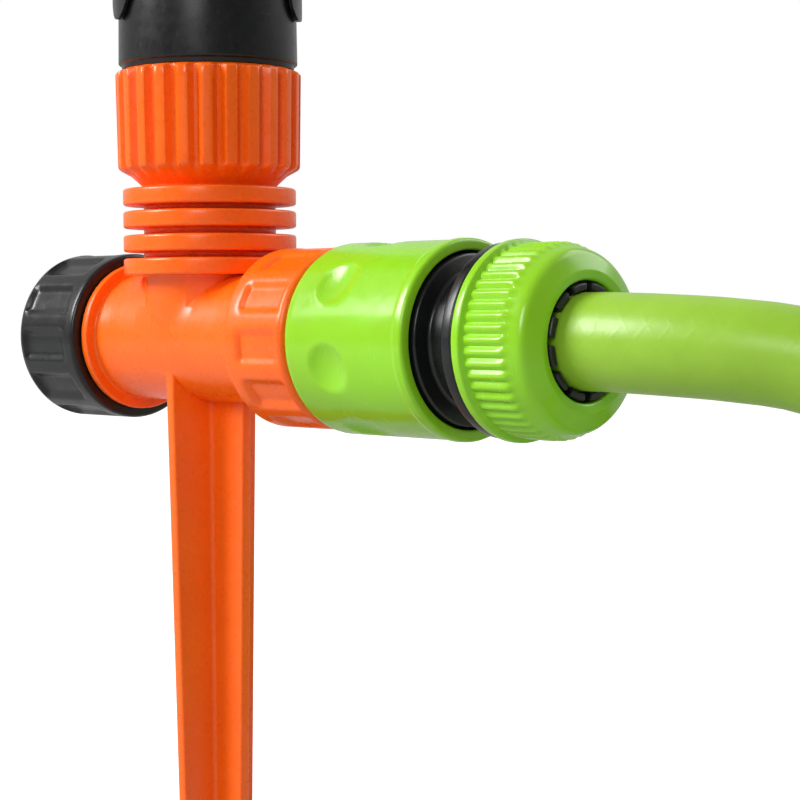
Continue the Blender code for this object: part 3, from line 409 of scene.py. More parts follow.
def turned(name, outline, segments=96, shape=None, place=UP, angle=38):
    """An outline of (radius, height) turned about Z. shape(angle, radius, height) may change the radius.

    An outline that touches the axis at both ends is closed there by a disc.
    """
    made = bmesh.new()
    solid = outline[0][0] <= 1e-7
    rows = []
    for radius, height in outline[1:-1] if solid else outline:
        row = []
        for i in range(segments):
            around = 2 * math.pi * i / segments
            r = shape(around, radius, height) if shape else radius
            row.append(made.verts.new((r * math.cos(around), r * math.sin(around), height)))
        rows.append(row)
    for below, above in zip(rows, rows[1:] if solid else rows[1:] + rows[:1]):
        for i in range(segments):
            j = (i + 1) % segments
            made.faces.new((below[i], below[j], above[j], above[i]))
    if solid:
        made.faces.new(rows[0])
        made.faces.new(rows[-1])
    return mesh_object(name, from_bmesh(name, made), place, angle)


def prism(name, outline, thickness, place=UP, bevel=0.0):
    """An outline of (x, z) made thickness thick along Y, with rounded edges."""
    made = bmesh.new()
    face = made.faces.new([made.verts.new((x, -thickness / 2, z)) for x, z in outline])
    side = bmesh.ops.extrude_face_region(made, geom=[face])["geom"]
    moved = [item for item in side if isinstance(item, bmesh.types.BMVert)]
    bmesh.ops.translate(made, verts=moved, vec=(0, thickness, 0))
    item = mesh_object(name, from_bmesh(name, made), place)
    if bevel:
        round_edges(item, bevel)
    return item


def applied(item):
    """The item's modifiers made part of its mesh."""
    graph = bpy.context.evaluated_depsgraph_get()
    graph.update()
    mesh = bpy.data.meshes.new_from_object(item.evaluated_get(graph))
    item.modifiers.clear()
    item.data = mesh
    return item


def round_edges(item, width, segments=2, angle=40):
    step = item.modifiers.new("rounding", "BEVEL")
    step.width = width
    step.segments = segments
    step.limit_method = "ANGLE"
    step.angle_limit = math.radians(angle)
    step.harden_normals = False
    applied(item)
    item.data.shade_smooth()
    item.data.set_sharp_from_angle(angle=math.radians(50))
    return item


def boolean(item, operation, *tools):
    for tool in tools:
        step = item.modifiers.new(tool.name, "BOOLEAN")
        step.operation = operation
        step.solver = "EXACT"
        step.object = tool
    applied(item)
    for tool in tools:
        bpy.data.objects.remove(tool)
    item.data.shade_smooth()
    item.data.set_sharp_from_angle(angle=math.radians(38))
    return item


def tube_along(name, points, radius, sides=32):
    """A round tube along points, with closed ends and a UV map: once round, and metres along."""
    made = bmesh.new()
    uv = made.loops.layers.uv.new("round_and_along")
    ahead = (points[1] - points[0]).normalized()
    out = ahead.orthogonal().normalized()
    rows, along = [], [0.0]
    for i, point in enumerate(points):
        before, after = points[max(0, i - 1)], points[min(len(points) - 1, i + 1)]
        now = (after - before).normalized()
        out = (out - now * out.dot(now)).normalized()
        side = now.cross(out)
        rows.append(
            [
                made.verts.new(point + (out * math.cos(a) + side * math.sin(a)) * radius)
                for a in (2 * math.pi * k / sides for k in range(sides))
            ]
        )
        if i:
            along.append(along[-1] + (point - points[i - 1]).length)
    for i in range(len(rows) - 1):
        for k in range(sides):
            j = (k + 1) % sides
            face = made.faces.new((rows[i][k], rows[i][j], rows[i + 1][j], rows[i + 1][k]))
            spots = ((k, i), (k + 1, i), (k + 1, i + 1), (k, i + 1))
            for loop, (u, v) in zip(face.loops, spots):
                loop[uv].uv = (u / sides, along[v])
    made.faces.new(rows[0])
    made.faces.new(rows[-1])
    return mesh_object(name, from_bmesh(name, made)), along[-1]


def smooth_route(points, spacing):
    """Points along a smooth curve through the route's own points, about spacing apart."""
    ends = [2 * points[0] - points[1], *points, 2 * points[-1] - points[-2]]
    fine = []
    for a, b, c, d in zip(ends, ends[1:], ends[2:], ends[3:]):
        for step in range(24):
            t = step / 24
            fine.append(
                0.5
                * (
                    2 * b
                    + (c - a) * t
                    + (2 * a - 5 * b + 4 * c - d) * t**2
                    + (3 * b - a - 3 * c + d) * t**3
                )
            )
    fine.append(points[-1])
    lengths = [0.0]
    for p, q in zip(fine, fine[1:]):
        lengths.append(lengths[-1] + (q - p).length)
    count = max(2, round(lengths[-1] / spacing) + 1)
    kept, k = [], 0
    for i in range(count):
        want = lengths[-1] * i / (count - 1)
        while k < len(fine) - 2 and lengths[k + 1] < want:
            k += 1
        share = (want - lengths[k]) / (lengths[k + 1] - lengths[k])
        kept.append(fine[k].lerp(fine[k + 1], min(1, share)))
    return kept


# ---------------------------------------------------------------- hose

HOSE_D = 16.5 * MM
COIL_R = 82.5 * MM
COIL_CENTRE = middle("hose_coil")


def hose_route():
    """From the connector down to the coil, round it twice and out to the far connector."""
    height = TUBE_HEIGHT
    points = [
        Vector((92.2 * MM, 0, height)),
        Vector((98.0 * MM, 0, height)),
        Vector((101.5 * MM, 0, height)),
        Vector((105.0 * MM, 0.1 * MM, height - 0.1 * MM)),
        Vector((113.0 * MM, 1.2 * MM, height - 0.4 * MM)),
        Vector((124.5 * MM, 4.5 * MM, height - 1.2 * MM)),
        Vector((135.0 * MM, 9.4 * MM, height - 3.0 * MM)),
        Vector((152.0 * MM, 14.9 * MM, height - 9.0 * MM)),
        Vector((172.0 * MM, 19.9 * MM, height - 19.5 * MM)),
        Vector((190.0 * MM, 24.2 * MM, height - 32.0 * MM)),
        Vector((208.2 * MM, 28.5 * MM, height - 45.5 * MM)),
        Vector((227.3 * MM, 38.4 * MM, height - 59.0 * MM)),
    ]
    floor = HOSE_D / 2 + 0.15 * MM
    stacked = floor + HOSE_D + 0.4 * MM
    drops = {-40: 10.4, -25: 3.6, -10: 0.6}
    for angle in [-40, -25, -10, *range(5, 451, 12)]:
        if angle < 126:
            z = stacked + drops.get(angle, 0) * MM
        else:
            z = stacked + (floor - stacked) * smoothstep(angle, 126, 250)
        inward = smoothstep(angle, 60, 100) - smoothstep(angle, 125, 175)
        spot = math.radians(angle)
        radius = COIL_R - 5 * MM * inward
        points.append(
            Vector(
                (
                    COIL_CENTRE.x + radius * math.cos(spot),
                    COIL_CENTRE.y + radius * math.sin(spot),
                    z,
                )
            )
        )
    far = middle("far_connector_sleeve")
    end = far_front() + 51.6 * MM
    side = COIL_CENTRE.y + COIL_R - far.y
    for x, share, lift in ((168, 0.02, 0.0), (152, 0.2, 0.12), (136, 0.6, 0.52), (122, 0.92, 0.88)):
        points.append(Vector((x * MM, far.y + side * (1 - share), floor + (far.z - floor) * lift)))
    points += [
        Vector((end + 11 * MM, far.y, far.z)),
        Vector((end + 5 * MM, far.y, far.z)),
        Vector((end, far.y, far.z)),
    ]
    return points[:1] + smooth_route(points[1:], 4 * MM)


def far_front():
    return low("far_connector_sleeve").x


def make_hose(far_pieces):
    route = hose_route()
    hose, length = tube_along("hose_tube", route, HOSE_D / 2, sides=40)
    finish(hose, "stake", HOSE, "hose", "hose_coil", "hose_tail", slot="hose")
    print("hose length", round(length, 4))


# ---------------------------------------------------------------- tee and spike

def waves(angle, count, start, half_width, softness):
    """1 inside each of count equal zones round the axis and 0 outside; widths are in radians."""
    pitch = 2 * math.pi / count
    off = abs((angle - start + pitch / 2) % pitch - pitch / 2)
    return 1 - smoothstep(off, half_width - softness, half_width + softness)


def helical_thread(name, radius, depth, pitch, length, place, starts_in=0.6):
    """A screw thread's ridge, a little into the cylinder it stands on and fading at both ends."""
    made = bmesh.new()
    steps = 40
    turns = length / pitch
    count = int(turns * steps)
    half = pitch * 0.40
    rows = []
    for i in range(count + 1):
        along = i / count
        fade = min(1, along * turns / starts_in, (1 - along) * turns / starts_in)
        angle = 2 * math.pi * i / steps
        z = length * along
        root, crest = radius - depth - 0.15 * MM, radius - depth + depth * max(0.02, fade)
        section = ((root, -half), (crest, -half * 0.32), (crest, half * 0.32), (root, half))
        across, up = math.cos(angle), math.sin(angle)
        rows.append([made.verts.new((r * across, r * up, z + h)) for r, h in section])
    for a, b in zip(rows, rows[1:]):
        for k in range(4):
            made.faces.new((a[k], a[(k + 1) % 4], b[(k + 1) % 4], b[k]))
    made.faces.new(rows[0])
    made.faces.new(rows[-1])
    return mesh_object(name, from_bmesh(name, made), place, 30)


RING_LOWS = [12.35, 16.96, 21.69, 26.17]


def make_tee():
    """Collar, rings, tube and spike as one moulding, with its two screw threads."""
    axis = Matrix.Translation((0, 0, TUBE_HEIGHT))
    neck, ring = 13.16, 17.24
    outline = [(8.5, 0), (neck, 0)]
    for foot in RING_LOWS:
        outline += [
            (neck, foot, 0.5),
            (ring, foot, 0.55),
            (ring, foot + 3.3, 0.55),
            (neck, foot + 3.3, 0.5),
        ]
    outline += [
        (neck + 0.3, 30.1, 0.8),
        (17.0, 33.4, 1.6),
        (17.35, 52.75, 0.9),
        (16.0, 53.1, 0.4),
        (12.7, 52.6, 0.5),
        (12.7, 36.6, 0.3),
        (8.5, 36.0, 0.4),
    ]
    outline = [(r * MM, z * MM) for r, z in rounded(outline, 4)]
    outline = finer(outline, 1.6 * MM, 31 * MM, 54 * MM)
    pitch = 2 * math.pi / 24

    def ribs(angle, radius, height):
        if radius < 15 * MM or height < 30.9 * MM:
            return radius
        lift = waves(angle, 24, pitch * 0.28, pitch * 0.31, pitch * 0.13)
        ends = smoothstep(height, 31.8 * MM, 33.6 * MM) * (1 - smoothstep(height, 52.1 * MM, 53.1 * MM))
        return radius + (1.4 * MM * lift - 0.3 * MM) * ends

    tee = turned("tee_moulding", outline, 24 * 14, ribs, axis)
    across = Matrix.Translation((0, 0, TUBE_HEIGHT)) @ ALONG_X
    half = [
        (8.7, 35.0, 0.3),
        (12.1, 35.0, 0.6),
        (12.1, 23.4, 0.2),
        (15.14, 23.4, 0.45),
        (15.14, 21.5, 0.45),
        (13.0, 21.5, 0.5),
    ]
    other = [(r, -x, f) for r, x, f in reversed(half)]
    tube = [(r * MM, x * MM) for r, x in rounded(half + other, 4)]
    barrel = turned("tee_tube", finer(tube, 6 * MM), 120, place=across)
    spike = spike_bar()
    bore_r, bore_half = 8.69 * MM, 36 * MM
    drill = [(0, -bore_half), (bore_r, -bore_half), (bore_r, bore_half), (0, bore_half)]
    bore = turned("tube_bore", drill, 61, place=across)
    riser_r, riser_foot, riser_top = 8.49 * MM, -1 * MM, 30 * MM
    drill = [(0, riser_foot), (riser_r, riser_foot), (riser_r, riser_top), (0, riser_top)]
    riser = turned("riser", drill, 59, place=axis)
    boolean(tee, "UNION", barrel, spike)
    boolean(tee, "DIFFERENCE", bore, riser)
    finish(tee, "stake", ORANGE, "spike_body")
    for side, turn in (("inlet", ALONG_X), ("closed", ALONG_MINUS_X)):
        start = Matrix.Translation((24.6 * MM * (1 if side == "inlet" else -1), 0, TUBE_HEIGHT)) @ turn
        thread = helical_thread(side + "_thread", 13.2 * MM, 1.1 * MM, 1.814 * MM, 9.4 * MM, start)
        finish(thread, "stake", ORANGE, slot="spike_body")


def spike_bar():
    """The cross-shaped bar: rounded fin edges, a small radius in each valley, and a point."""
    made = bmesh.new()
    base = TUBE_HEIGHT
    top = base - 3 * MM
    tip = low("spike_body").z
    heights = [top - (top - tip - 26 * MM) * k / 24 for k in range(25)]
    heights += [tip + 26 * MM * (1 - k / 8) for k in range(1, 9)]
    rows = []
    for z in heights:
        share = (top - z) / (top - (tip + 26 * MM))
        if share <= 1:
            reach, half = 11.05 - 4.4 * share, 1.15
        else:
            down = (tip + 26 * MM - z) / (26 * MM)
            reach, half = 6.65 * (1 - down) + 0.9 * down, 1.15 * (1 - down) + 0.4 * down
        edge = min(0.5, half * 0.8)
        quarter = []
        for k in range(4):
            angle = math.radians(30 * k)
            quarter.append((half - edge + edge * math.cos(angle), reach - edge + edge * math.sin(angle)))
        mirrored = [(-x, y) for x, y in reversed(quarter)]
        valley = []
        for k in range(4):
            angle = math.radians(180 + 30 * k)
            fillet = min(0.8, 0.6 * (reach - half))
            valley.append(
                (
                    half + fillet + fillet * math.cos(angle),
                    half + fillet + fillet * math.sin(angle),
                )
            )
        section = list(reversed(valley)) + quarter + mirrored
        ring = []
        for turn in range(4):
            spin = Matrix.Rotation(math.radians(90 * turn), 2)
            ring += [made.verts.new((*(spin @ Vector(p) * MM), z)) for p in section]
        rows.append(ring)
    for a, b in zip(rows, rows[1:]):
        count = len(a)
        for i in range(count):
            j = (i + 1) % count
            made.faces.new((a[i], a[j], b[j], b[i]))
    made.faces.new(rows[0])
    made.faces.new(rows[-1])
    return mesh_object("spike_bar", from_bmesh("spike_bar", made))


# ---------------------------------------------------------------- cap and inlet nut

GRIP_R = 17.12
POCKET = 0.95


def grip(start, near, far):
    """The change of radius of the screw grips: eleven hollows between a plain band and the far end."""
    pitch = 2 * math.pi / 11

    def shape(angle, radius, height):
        if radius < 15.0 * MM:
            return radius
        hollow = waves(angle, 11, start, pitch * 0.29, pitch * 0.11)
        ends = smoothstep(height, near * MM, (near + 0.9) * MM)
        ends *= 1 - smoothstep(height, far * MM, (far + 0.8) * MM)
        return radius - POCKET * MM * hollow * ends

    return shape


def make_end_cap():
    place = Matrix.Translation((high("end_cap").x, 0, TUBE_HEIGHT)) @ ALONG_MINUS_X
    outline = [
        (0, 13.5),
        (13.5, 13.5, 0.3),
        (13.5, 0, 0.5),
        (GRIP_R, 0, 0.9),
        (GRIP_R, 19.5, 2.0),
        (11.0, 19.5, 0.5),
        (10.6, 19.1, 0.3),
        (0, 19.1),
    ]
    outline = [(r * MM, z * MM) for r, z in rounded(outline, 5)]
    outline = dense(outline, 0.7 * MM)
    cap = turned("screw_cap", outline, 11 * 24, grip(0.62, 3.4, 16.6), place)
    finish(cap, "cap", BLACK, "end_cap")
    thread_inside("cap", place, 1.2, 11.0)


def dense(outline, step):
    """finer() for an outline that starts and ends on the axis: it isn't split there."""
    out = []
    for a, b in zip(outline, outline[1:]):
        out.append(a)
        length = math.dist(a, b)
        if a[0] > 15 * MM and b[0] > 15 * MM and length > step:
            pieces = math.ceil(length / step)
            out += [tuple(a[j] + (b[j] - a[j]) * k / pieces for j in range(2)) for k in range(1, pieces)]
    return out + [outline[-1]]


def thread_inside(body, place, first, last):
    """Ridges of the inside thread, seen at the cap's mouth once it's off."""
    made = bmesh.new()
    pitch, steps = 1.814, 40
    count = int((last - first) / pitch * steps)
    rows = []
    for i in range(count + 1):
        angle = 2 * math.pi * i / steps
        z = first + (last - first) * i / count
        section = ((13.6, -0.62), (13.42, -0.2), (13.42, 0.2), (13.6, 0.62))
        across, up = math.cos(angle), math.sin(angle)
        rows.append(
            [made.verts.new((r * MM * across, r * MM * up, (z + h) * MM)) for r, h in section]
        )
    for a, b in zip(rows, rows[1:]):
        for k in range(4):
            made.faces.new((a[k], a[(k + 1) % 4], b[(k + 1) % 4], b[k]))
    made.faces.new(rows[0])
    made.faces.new(rows[-1])
    ridge = mesh_object(body + "_inside_thread", from_bmesh("inside_thread", made), place, 30)
    finish(ridge, body, BLACK, slot="end_cap")


def make_inlet_nut():
    place = Matrix.Translation((GRIP_MOUTH, 0, TUBE_HEIGHT)) @ ALONG_X
    outline = [
        (4.9, 13.5, 0.2),
        (13.5, 13.5, 0.3),
        (13.5, 0, 0.4),
        (GRIP_R, 0, 0.8),
        (GRIP_R, 16.4, 1.3),
        (14.6, 16.4, 0.4),
        (8.3, 16.5, 0.5),
        (8.3, 19.7, 0.2),
        (6.9, 19.7, 0.2),
        (6.9, 22.7, 0.2),
        (8.3, 23.3, 0.2),
        (8.3, 25.1, 0.2),
        (7.3, 26.3, 0.2),
        (7.3, 31.7, 0.15),
        (5.8, 31.7, 0.15),
        (5.8, 34.7, 0.15),
        (7.3, 34.7, 0.15),
        (7.3, 37.9, 0.4),
        (6.4, 38.5, 0.3),
        (4.9, 38.5, 0.2),
    ]
    outline = finer([(r * MM, z * MM) for r, z in rounded(outline, 4)], 0.7 * MM, 0.3 * MM, 16.3 * MM)
    start = math.radians(-85.4)
    nut = turned("inlet_moulding", outline, 11 * 24, grip(start, 3.3, 14.2), place)
    finish(nut, "stake", ORANGE, "inlet_nut")


# ---------------------------------------------------------------- base of the turning head

def make_base():
    """The black base in the collar: stepped lip, tapered wall, shoulder and the bearing's neck."""
    foot, bottom, top = 157.9, low("bearing_sleeve").z / MM, high("bearing_sleeve").z / MM
    outline = [
        (8.4, bottom, 0.3),
        (12.6, bottom, 0.8),
        (12.6, foot - 3.0, 0.2),
        (12.5, foot, 0.2),
        (17.05, foot, 0.25),
        (17.15, foot + 0.9, 0.2),
        (17.77, foot + 1.2, 0.35),
        (17.6, foot + 15.2, 0.9),
        (16.7, foot + 16.3, 0.5),
        (11.0, foot + 16.3, 0.6),
        (11.0, top, 0.5),
        (8.4, top, 0.3),
    ]
    outline = [(r * MM, z * MM) for r, z in rounded(outline, 5)]
    base = turned("bearing_base", outline, 144)
    finish(base, "stake", BLACK, "bearing_sleeve")


# ---------------------------------------------------------------- quick connectors

DIMPLE_AT, DIMPLE_ANGLE, DIMPLES = 11.7, -15.8, 7


def make_connector(prefix, place, fineness):
    """Sleeve, housing, claws, hose nut and collet of a quick connector; z = 0 at the sleeve's front."""
    outline = [
        (12.8, 0, 0.5),
        (17.7, 0, 2.3),
        (17.75, 28.4, 0.5),
        (18.0, 29.2, 0.5),
        (17.95, 31.0, 0.8),
        (15.8, 31.0, 0.45),
        (15.76, 11.6, 0.5),
        (11.3, 10.6, 0.3),
        (11.3, 3.9, 0.4),
        (12.8, 2.4, 0.5),
    ]
    outline = finer([(r * MM, z * MM) for r, z in rounded(outline, 6)], 0.55 * MM, 2 * MM, 22 * MM)

    def dimples(angle, radius, height):
        if radius < 16.6 * MM:
            return radius
        pitch = 2 * math.pi / DIMPLES
        # the local angle that points to -Y and then upwards
        start = math.radians(-90 - DIMPLE_ANGLE)
        off = ((angle - start + pitch / 2) % pitch - pitch / 2) * 17.7
        distance = math.hypot(off, (height / MM - DIMPLE_AT) * 0.96)
        hollow = max(0.0, 1 - (distance / 4.5) ** 2) ** 0.8
        return radius - 1.25 * MM * hollow

    sleeve = turned(prefix + "sleeve_shell", outline, 7 * (26 if fineness > 1 else 18), dimples, place)
    finish(sleeve, prefix + "sleeve", GREEN, prefix + "connector_sleeve")

    end = 41.9 + 9.0
    housing = [
        (4.9, 24.5, 0.2),
        (8.8, 24.5, 0.2),
        (8.8, 0.6, 0.3),
        (11.0, 0.6, 0.4),
        (11.0, 29.3, 0.3),
        (15.3, 29.1, 0.55),
        (15.3, 31.6, 0.55),
        (12.2, 32.1, 0.8),
        (11.9, 38.8, 0.8),
        (17.0, 39.2, 0.6),
        (17.0, 41.6, 0.5),
        (12.4, 41.6, 0.2),
        (12.4, end, 0.3),
        (10.4, end, 0.3),
        (10.4, 42.5, 0.2),
        (5.8, 42.5, 0.2),
        (5.8, 47.5, 0.2),
        (6.5, 51.3, 0.2),
        (4.9, 51.3, 0.2),
    ]
    housing = [(r * MM, z * MM) for r, z in rounded(housing, 4)]
    shell = turned(prefix + "housing", housing, 96 if fineness > 1 else 72, place=place)
    windows = box_tool("windows", (-12 * MM, -3.3 * MM, 3.0 * MM), (12 * MM, 3.3 * MM, 7.9 * MM), place)
    boolean(shell, "DIFFERENCE", windows)
    finish(shell, "stake", BLACK, prefix + "connector_body")

    nut_end = 57.4
    nut = [
        (12.7, 41.9, 0.3),
        (17.5, 41.9, 0.6),
        (17.5, 43.7, 0.5),
        (16.25, 44.2, 0.3),
        (16.35, 52.6, 2.2),
        (15.4, 55.8, 2.4),
        (11.9, nut_end, 0.9),
        (10.25, nut_end - 0.2, 0.6),
        (10.25, 51.7, 0.2),
        (12.7, 51.2, 0.2),
    ]
    nut = finer([(r * MM, z * MM) for r, z in rounded(nut, 5)], 0.9 * MM, 43 * MM, 56 * MM)

    def knurl(angle, radius, height):
        if radius < 15.9 * MM or height < 43.95 * MM:
            return radius
        pitch = 2 * math.pi / 51
        rib = 0.5 + 0.5 * math.cos(2 * math.pi * (angle / pitch))
        rib = rib**0.65
        ends = smoothstep(height, 43.9 * MM, 44.5 * MM) * (1 - smoothstep(height, 51.6 * MM, 53.6 * MM))
        return radius + 0.62 * MM * rib * ends - 0.12 * MM * ends

    ring = turned(prefix + "nut_shell", nut, 51 * (8 if fineness > 1 else 6), knurl, place)
    finish(ring, prefix + "nut", GREEN, prefix + "hose_nut")
    make_collet(prefix, place)
    for side, name in ((-1, "claw_top"), (1, "claw_bottom")):
        claw(prefix, name, side, place)
    spring = coil(prefix + "return_spring", 13.4, 0.6, 12.0, 28.8, 5.5, place)
    finish(spring, "stake", STEEL, prefix + "sleeve_spring")
    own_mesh(spring)


def box_tool(name, lowest, highest, place=UP):
    made = bmesh.new()
    bmesh.ops.create_cube(made, size=1.0)
    for vertex in made.verts:
        vertex.co = [lowest[k] if vertex.co[k] < 0 else highest[k] for k in range(3)]
    return mesh_object(name, from_bmesh(name, made), place)


def claw(prefix, name, side, place):
    outline = [
        (3.3, 7.2, 0.25),
        (5.7, 7.2, 0.25),
        (5.7, 9.1, 0.1),
        (7.6, 9.1, 0.1),
        (7.6, 9.55, 0.1),
        (5.0, 9.55, 0.1),
        (5.0, 10.55, 0.3),
        (3.3, 10.55, 0.3),
    ]
    corners = [(side * x * MM, z * MM) for z, x in rounded(outline, 3)]
    made = prism(prefix + name + "_tooth", corners, 6 * MM, place, bevel=0.2 * MM)
    body = prefix + ("claw_up" if side < 0 else "claw_down")
    finish(made, body, ACETAL, prefix + name)


def coil(name, radius, wire, first, last, turns, place, sides=10, flat=0.6):
    """A compression spring about Z with closed end turns, in millimetres."""
    steps = int(turns * 36)
    points = []
    for i in range(steps + 1):
        angle = 2 * math.pi * turns * i / steps
        turn = turns * i / steps
        even = min(1, max(0, (turn - flat) / (turns - 2 * flat)))
        share = smoothstep(turn, flat, turns - flat) * 0.25 + 0.75 * even
        z = first + wire + (last - first - 2 * wire) * share
        points.append(Vector((radius * math.cos(angle), radius * math.sin(angle), z)) * MM)
    points = [place @ p for p in points]
    return tube_along(name, points, wire * MM, sides)[0]


def make_collet(prefix, place):
    """A black ring with twelve fingers round the hose; the gaps show its dark inside."""
    at, length = 51.9, 5.4
    inner, outer = 8.5, 9.95
    made = bmesh.new()
    rows = []
    count = 12 * 10
    levels = (0, 1.2, 1.5, 3.4, length - 0.5, length)
    for layer, z in enumerate(levels):
        lip = 0.25 if layer == len(levels) - 1 else 0.0
        rows.append([(inner + lip, outer - lip, at + z)] * count)
    grid = [
        [
            [
                made.verts.new(
                    (
                        r * MM * math.cos(2 * math.pi * i / count),
                        r * MM * math.sin(2 * math.pi * i / count),
                        z * MM,
                    )
                )
                for r in (a, b)
            ]
            for i, (a, b, z) in enumerate(row)
        ]
        for row in rows
    ]
    kept = set()
    for layer in range(len(levels) - 1):
        for i in range(count):
            gap = i % 10 in (0, 9, 8) and layer >= 1
            if not gap:
                kept.add((layer, i))
    for layer, i in kept:
        j = (i + 1) % count
        a, b, c, d = grid[layer][i], grid[layer][j], grid[layer + 1][j], grid[layer + 1][i]
        made.faces.new((a[1], b[1], c[1], d[1]))
        made.faces.new((a[0], d[0], c[0], b[0]))
        if (layer + 1, i) not in kept:
            made.faces.new((d[0], d[1], c[1], c[0]))
        if layer == 0:
            made.faces.new((a[0], b[0], b[1], a[1]))
        if (layer, (i + 1) % count) not in kept:
            made.faces.new((b[0], c[0], c[1], b[1]))
        if (layer, (i - 1) % count) not in kept:
            made.faces.new((a[0], a[1], d[1], d[0]))
    collet = mesh_object(prefix + "grip_ring", from_bmesh(prefix + "grip_ring", made), place)
    round_edges(collet, 0.14 * MM, 2, 50)
    finish(collet, prefix + "nut_carrier", BLACK_SATIN, prefix + "collet")


# ---------------------------------------------------------------- floor and light

def make_stage():
    made = bmesh.new()
    bmesh.ops.create_grid(made, x_segments=1, y_segments=1, size=12)
    floor = mesh_object("floor", from_bmesh("floor", made))
    material, tree, shader, where = start_material("floor")
    shade = noise(tree, where, 6, 3)
    paper = mix(tree, ramp(tree, shade, 0.3, 0.7, 0, 1), (0.46, 0.46, 0.46), (0.49, 0.49, 0.49))
    link(tree, paper, shader.inputs["Base Color"])
    shader.inputs["Roughness"].default_value = 0.9
    shader.inputs["Emission Color"].default_value = (1, 1, 1, 1)
    seen = tree.nodes.new("ShaderNodeLightPath").outputs["Is Camera Ray"]
    link(tree, ramp(tree, seen, 0, 1, 0.0, 0.82), shader.inputs["Emission Strength"])
    floor.data.materials.append(material)

    world = bpy.data.worlds.new("studio")
    bpy.context.scene.world = world
    world.use_nodes = True
    tree = world.node_tree
    sky = tree.nodes["Background"]
    sky.inputs["Color"].default_value = (1, 1, 1, 1)
    # a white backdrop; the room that lights the sprinkler is dimmer, most of all in front of it
    direction = tree.nodes.new("ShaderNodeTexCoord").outputs["Generated"]
    facing = tree.nodes.new("ShaderNodeVectorMath")
    facing.operation = "DOT_PRODUCT"
    facing.inputs[1].default_value = (-0.70, 0.70, 0.14)
    link(tree, direction, facing.inputs[0])
    room = ramp(tree, facing.outputs["Value"], -0.6, 0.9, 0.16, 0.62)
    seen = tree.nodes.new("ShaderNodeLightPath").outputs["Is Camera Ray"]
    link(tree, arithmetic(tree, "MAXIMUM", room, seen), sky.inputs["Strength"])
    softbox("key", (-0.75, -1.1, 1.0), (0, 0, 0.1), 0.7, 29)
    softbox("side", (0.75, -1.2, 0.75), (0.03, 0, 0.12), 0.5, 7)
    softbox("back", (0.5, 1.2, 1.1), (0, 0, 0.1), 1.0, 9)
    bpy.context.scene.view_settings.view_transform = "Standard"


def softbox(name, place, target, size, power):
    lamp = bpy.data.lights.new(name, "AREA")
    lamp.shape = "RECTANGLE"
    lamp.size = size
    lamp.size_y = size
    lamp.energy = power
    item = bpy.data.objects.new(name, lamp)
    item.location = place
    ahead = Vector(target) - Vector(place)
    item.rotation_mode = "QUATERNION"
    item.rotation_quaternion = ahead.to_track_quat("-Z", "Y")
    bpy.context.scene.collection.objects.link(item)


# ---------------------------------------------------------------- finishes of the CAD nodes that stay

def softened():
    """A modifier's node group that shades smoothly and keeps edges sharper than 32 degrees."""
    group = bpy.data.node_groups.new("smooth_by_angle", "GeometryNodeTree")
    group.interface.new_socket("Geometry", in_out="INPUT", socket_type="NodeSocketGeometry")
    group.interface.new_socket("Geometry", in_out="OUTPUT", socket_type="NodeSocketGeometry")
    start, end = group.nodes.new("NodeGroupInput"), group.nodes.new("NodeGroupOutput")
    faces = group.nodes.new("GeometryNodeSetShadeSmooth")
    edges = group.nodes.new("GeometryNodeSetShadeSmooth")
    edges.domain = "EDGE"
    angle = group.nodes.new("GeometryNodeInputMeshEdgeAngle")
    small = group.nodes.new("FunctionNodeCompare")
    small.data_type = "FLOAT"
    small.operation = "LESS_THAN"
    small.inputs["B"].default_value = math.radians(32)
    link(group, start.outputs[0], faces.inputs["Geometry"])
    link(group, faces.outputs["Geometry"], edges.inputs["Geometry"])
    link(group, angle.outputs["Unsigned Angle"], small.inputs["A"])
    link(group, small.outputs["Result"], edges.inputs["Shade Smooth"])
    link(group, edges.outputs["Geometry"], end.inputs[0])
    return group


def dress(material, bevel, *nodes):
    """A CAD node's finish, with its edges rounded by bevel millimetres where that isn't 0."""
    for name in nodes:
        item = frame["nodes"][name]
        for entry in item.material_slots:
            entry.material = material
        if bevel:
            step = item.modifiers.new("rounding", "BEVEL")
            step.width = bevel * MM
            step.segments = 3
            step.limit_method = "ANGLE"
            step.angle_limit = math.radians(38)
        item.modifiers.new("shading", "NODES").node_group = SMOOTH


SMOOTH = softened()


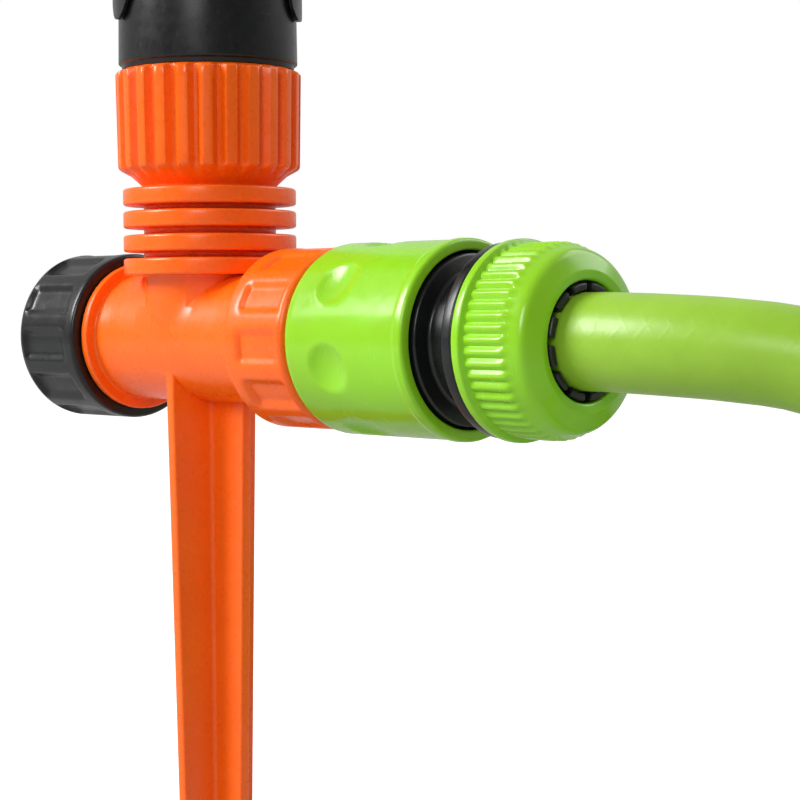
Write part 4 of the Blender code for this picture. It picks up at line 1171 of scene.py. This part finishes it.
def make_tie():
    """A rubber strap with a small button, round both turns of the coil."""
    turn = math.radians(32)
    place = Matrix.Translation((COIL_CENTRE.x, COIL_CENTRE.y, 0)) @ Matrix.Rotation(turn, 4, "Z")

    def loop(reach):
        points = []
        for z, first in ((HOSE_D * 1.5 + 0.5 * MM, 0), (HOSE_D / 2, 180)):
            for k in range(19):
                angle = math.radians(first + 10 * k)
                points.append((COIL_R + reach * math.cos(angle), z + reach * math.sin(angle)))
        return points

    strap = prism("coil_tie", loop(HOSE_D / 2 + 0.7 * MM), 11 * MM, place)
    boolean(strap, "DIFFERENCE", prism("inside", loop(HOSE_D / 2 - 0.3 * MM), 30 * MM, place))
    round_edges(strap, 0.25 * MM)
    finish(strap, "stake", RUBBER, slot="far_connector_seal")
    head = [(0, -1.0), (1.6, -1.0, 0.2), (1.6, 1.0, 0.2), (2.9, 1.3, 0.4), (2.9, 2.6, 0.8), (0, 2.9)]
    head = [(r * MM, z * MM) for r, z in rounded(head, 3)]
    side = Matrix.Translation((COIL_R + HOSE_D / 2 + 0.6 * MM, 0, HOSE_D + 0.4 * MM))
    button = turned("tie_button", head, 32, place=place @ side @ ALONG_X)
    finish(button, "stake", RUBBER, slot="far_connector_seal")
    return [strap, button]


def main():
    make_camera()
    make_stage()
    far = [n for n in frame["nodes"] if n.startswith("far_")]
    near = Matrix.Translation((SLEEVE_FRONT, 0, TUBE_HEIGHT)) @ ALONG_X
    lying = middle("far_connector_sleeve")
    away = Matrix.Translation((far_front(), lying.y, lying.z)) @ ALONG_X
    make_tee()
    make_end_cap()
    make_inlet_nut()
    make_base()
    make_connector("", near, 2)
    make_connector("far_", away, 1)
    pieces = [o for o in bpy.data.objects if o.name.startswith("far_") and o.name not in far]
    make_hose(pieces + [frame["nodes"]["far_connector_seal"]] + make_tie())
    dress(BLACK, 0.45, "rotor_body", "rear_plug", "arm_cap", "trip_lever")
    dress(BLACK, 0.5, "arc_collar_lower", "arc_collar_upper")
    dress(ORANGE, 0.4, "swing_arm", "spray_flap")
    dress(GREEN, 0.25, "main_nozzle")
    dress(ACETAL, 0.2, "bearing_tube", "bearing_seal")
    dress(RUBBER, 0.2, "cap_washer", "inlet_washer", "nipple_o_ring", "bearing_washer")
    dress(RUBBER, 0.2, "connector_seal", "far_connector_seal")
    dress(STEEL, 0, "bearing_spring", "arm_spring", "arm_pin", "flap_pin", "trip_pin")


main()
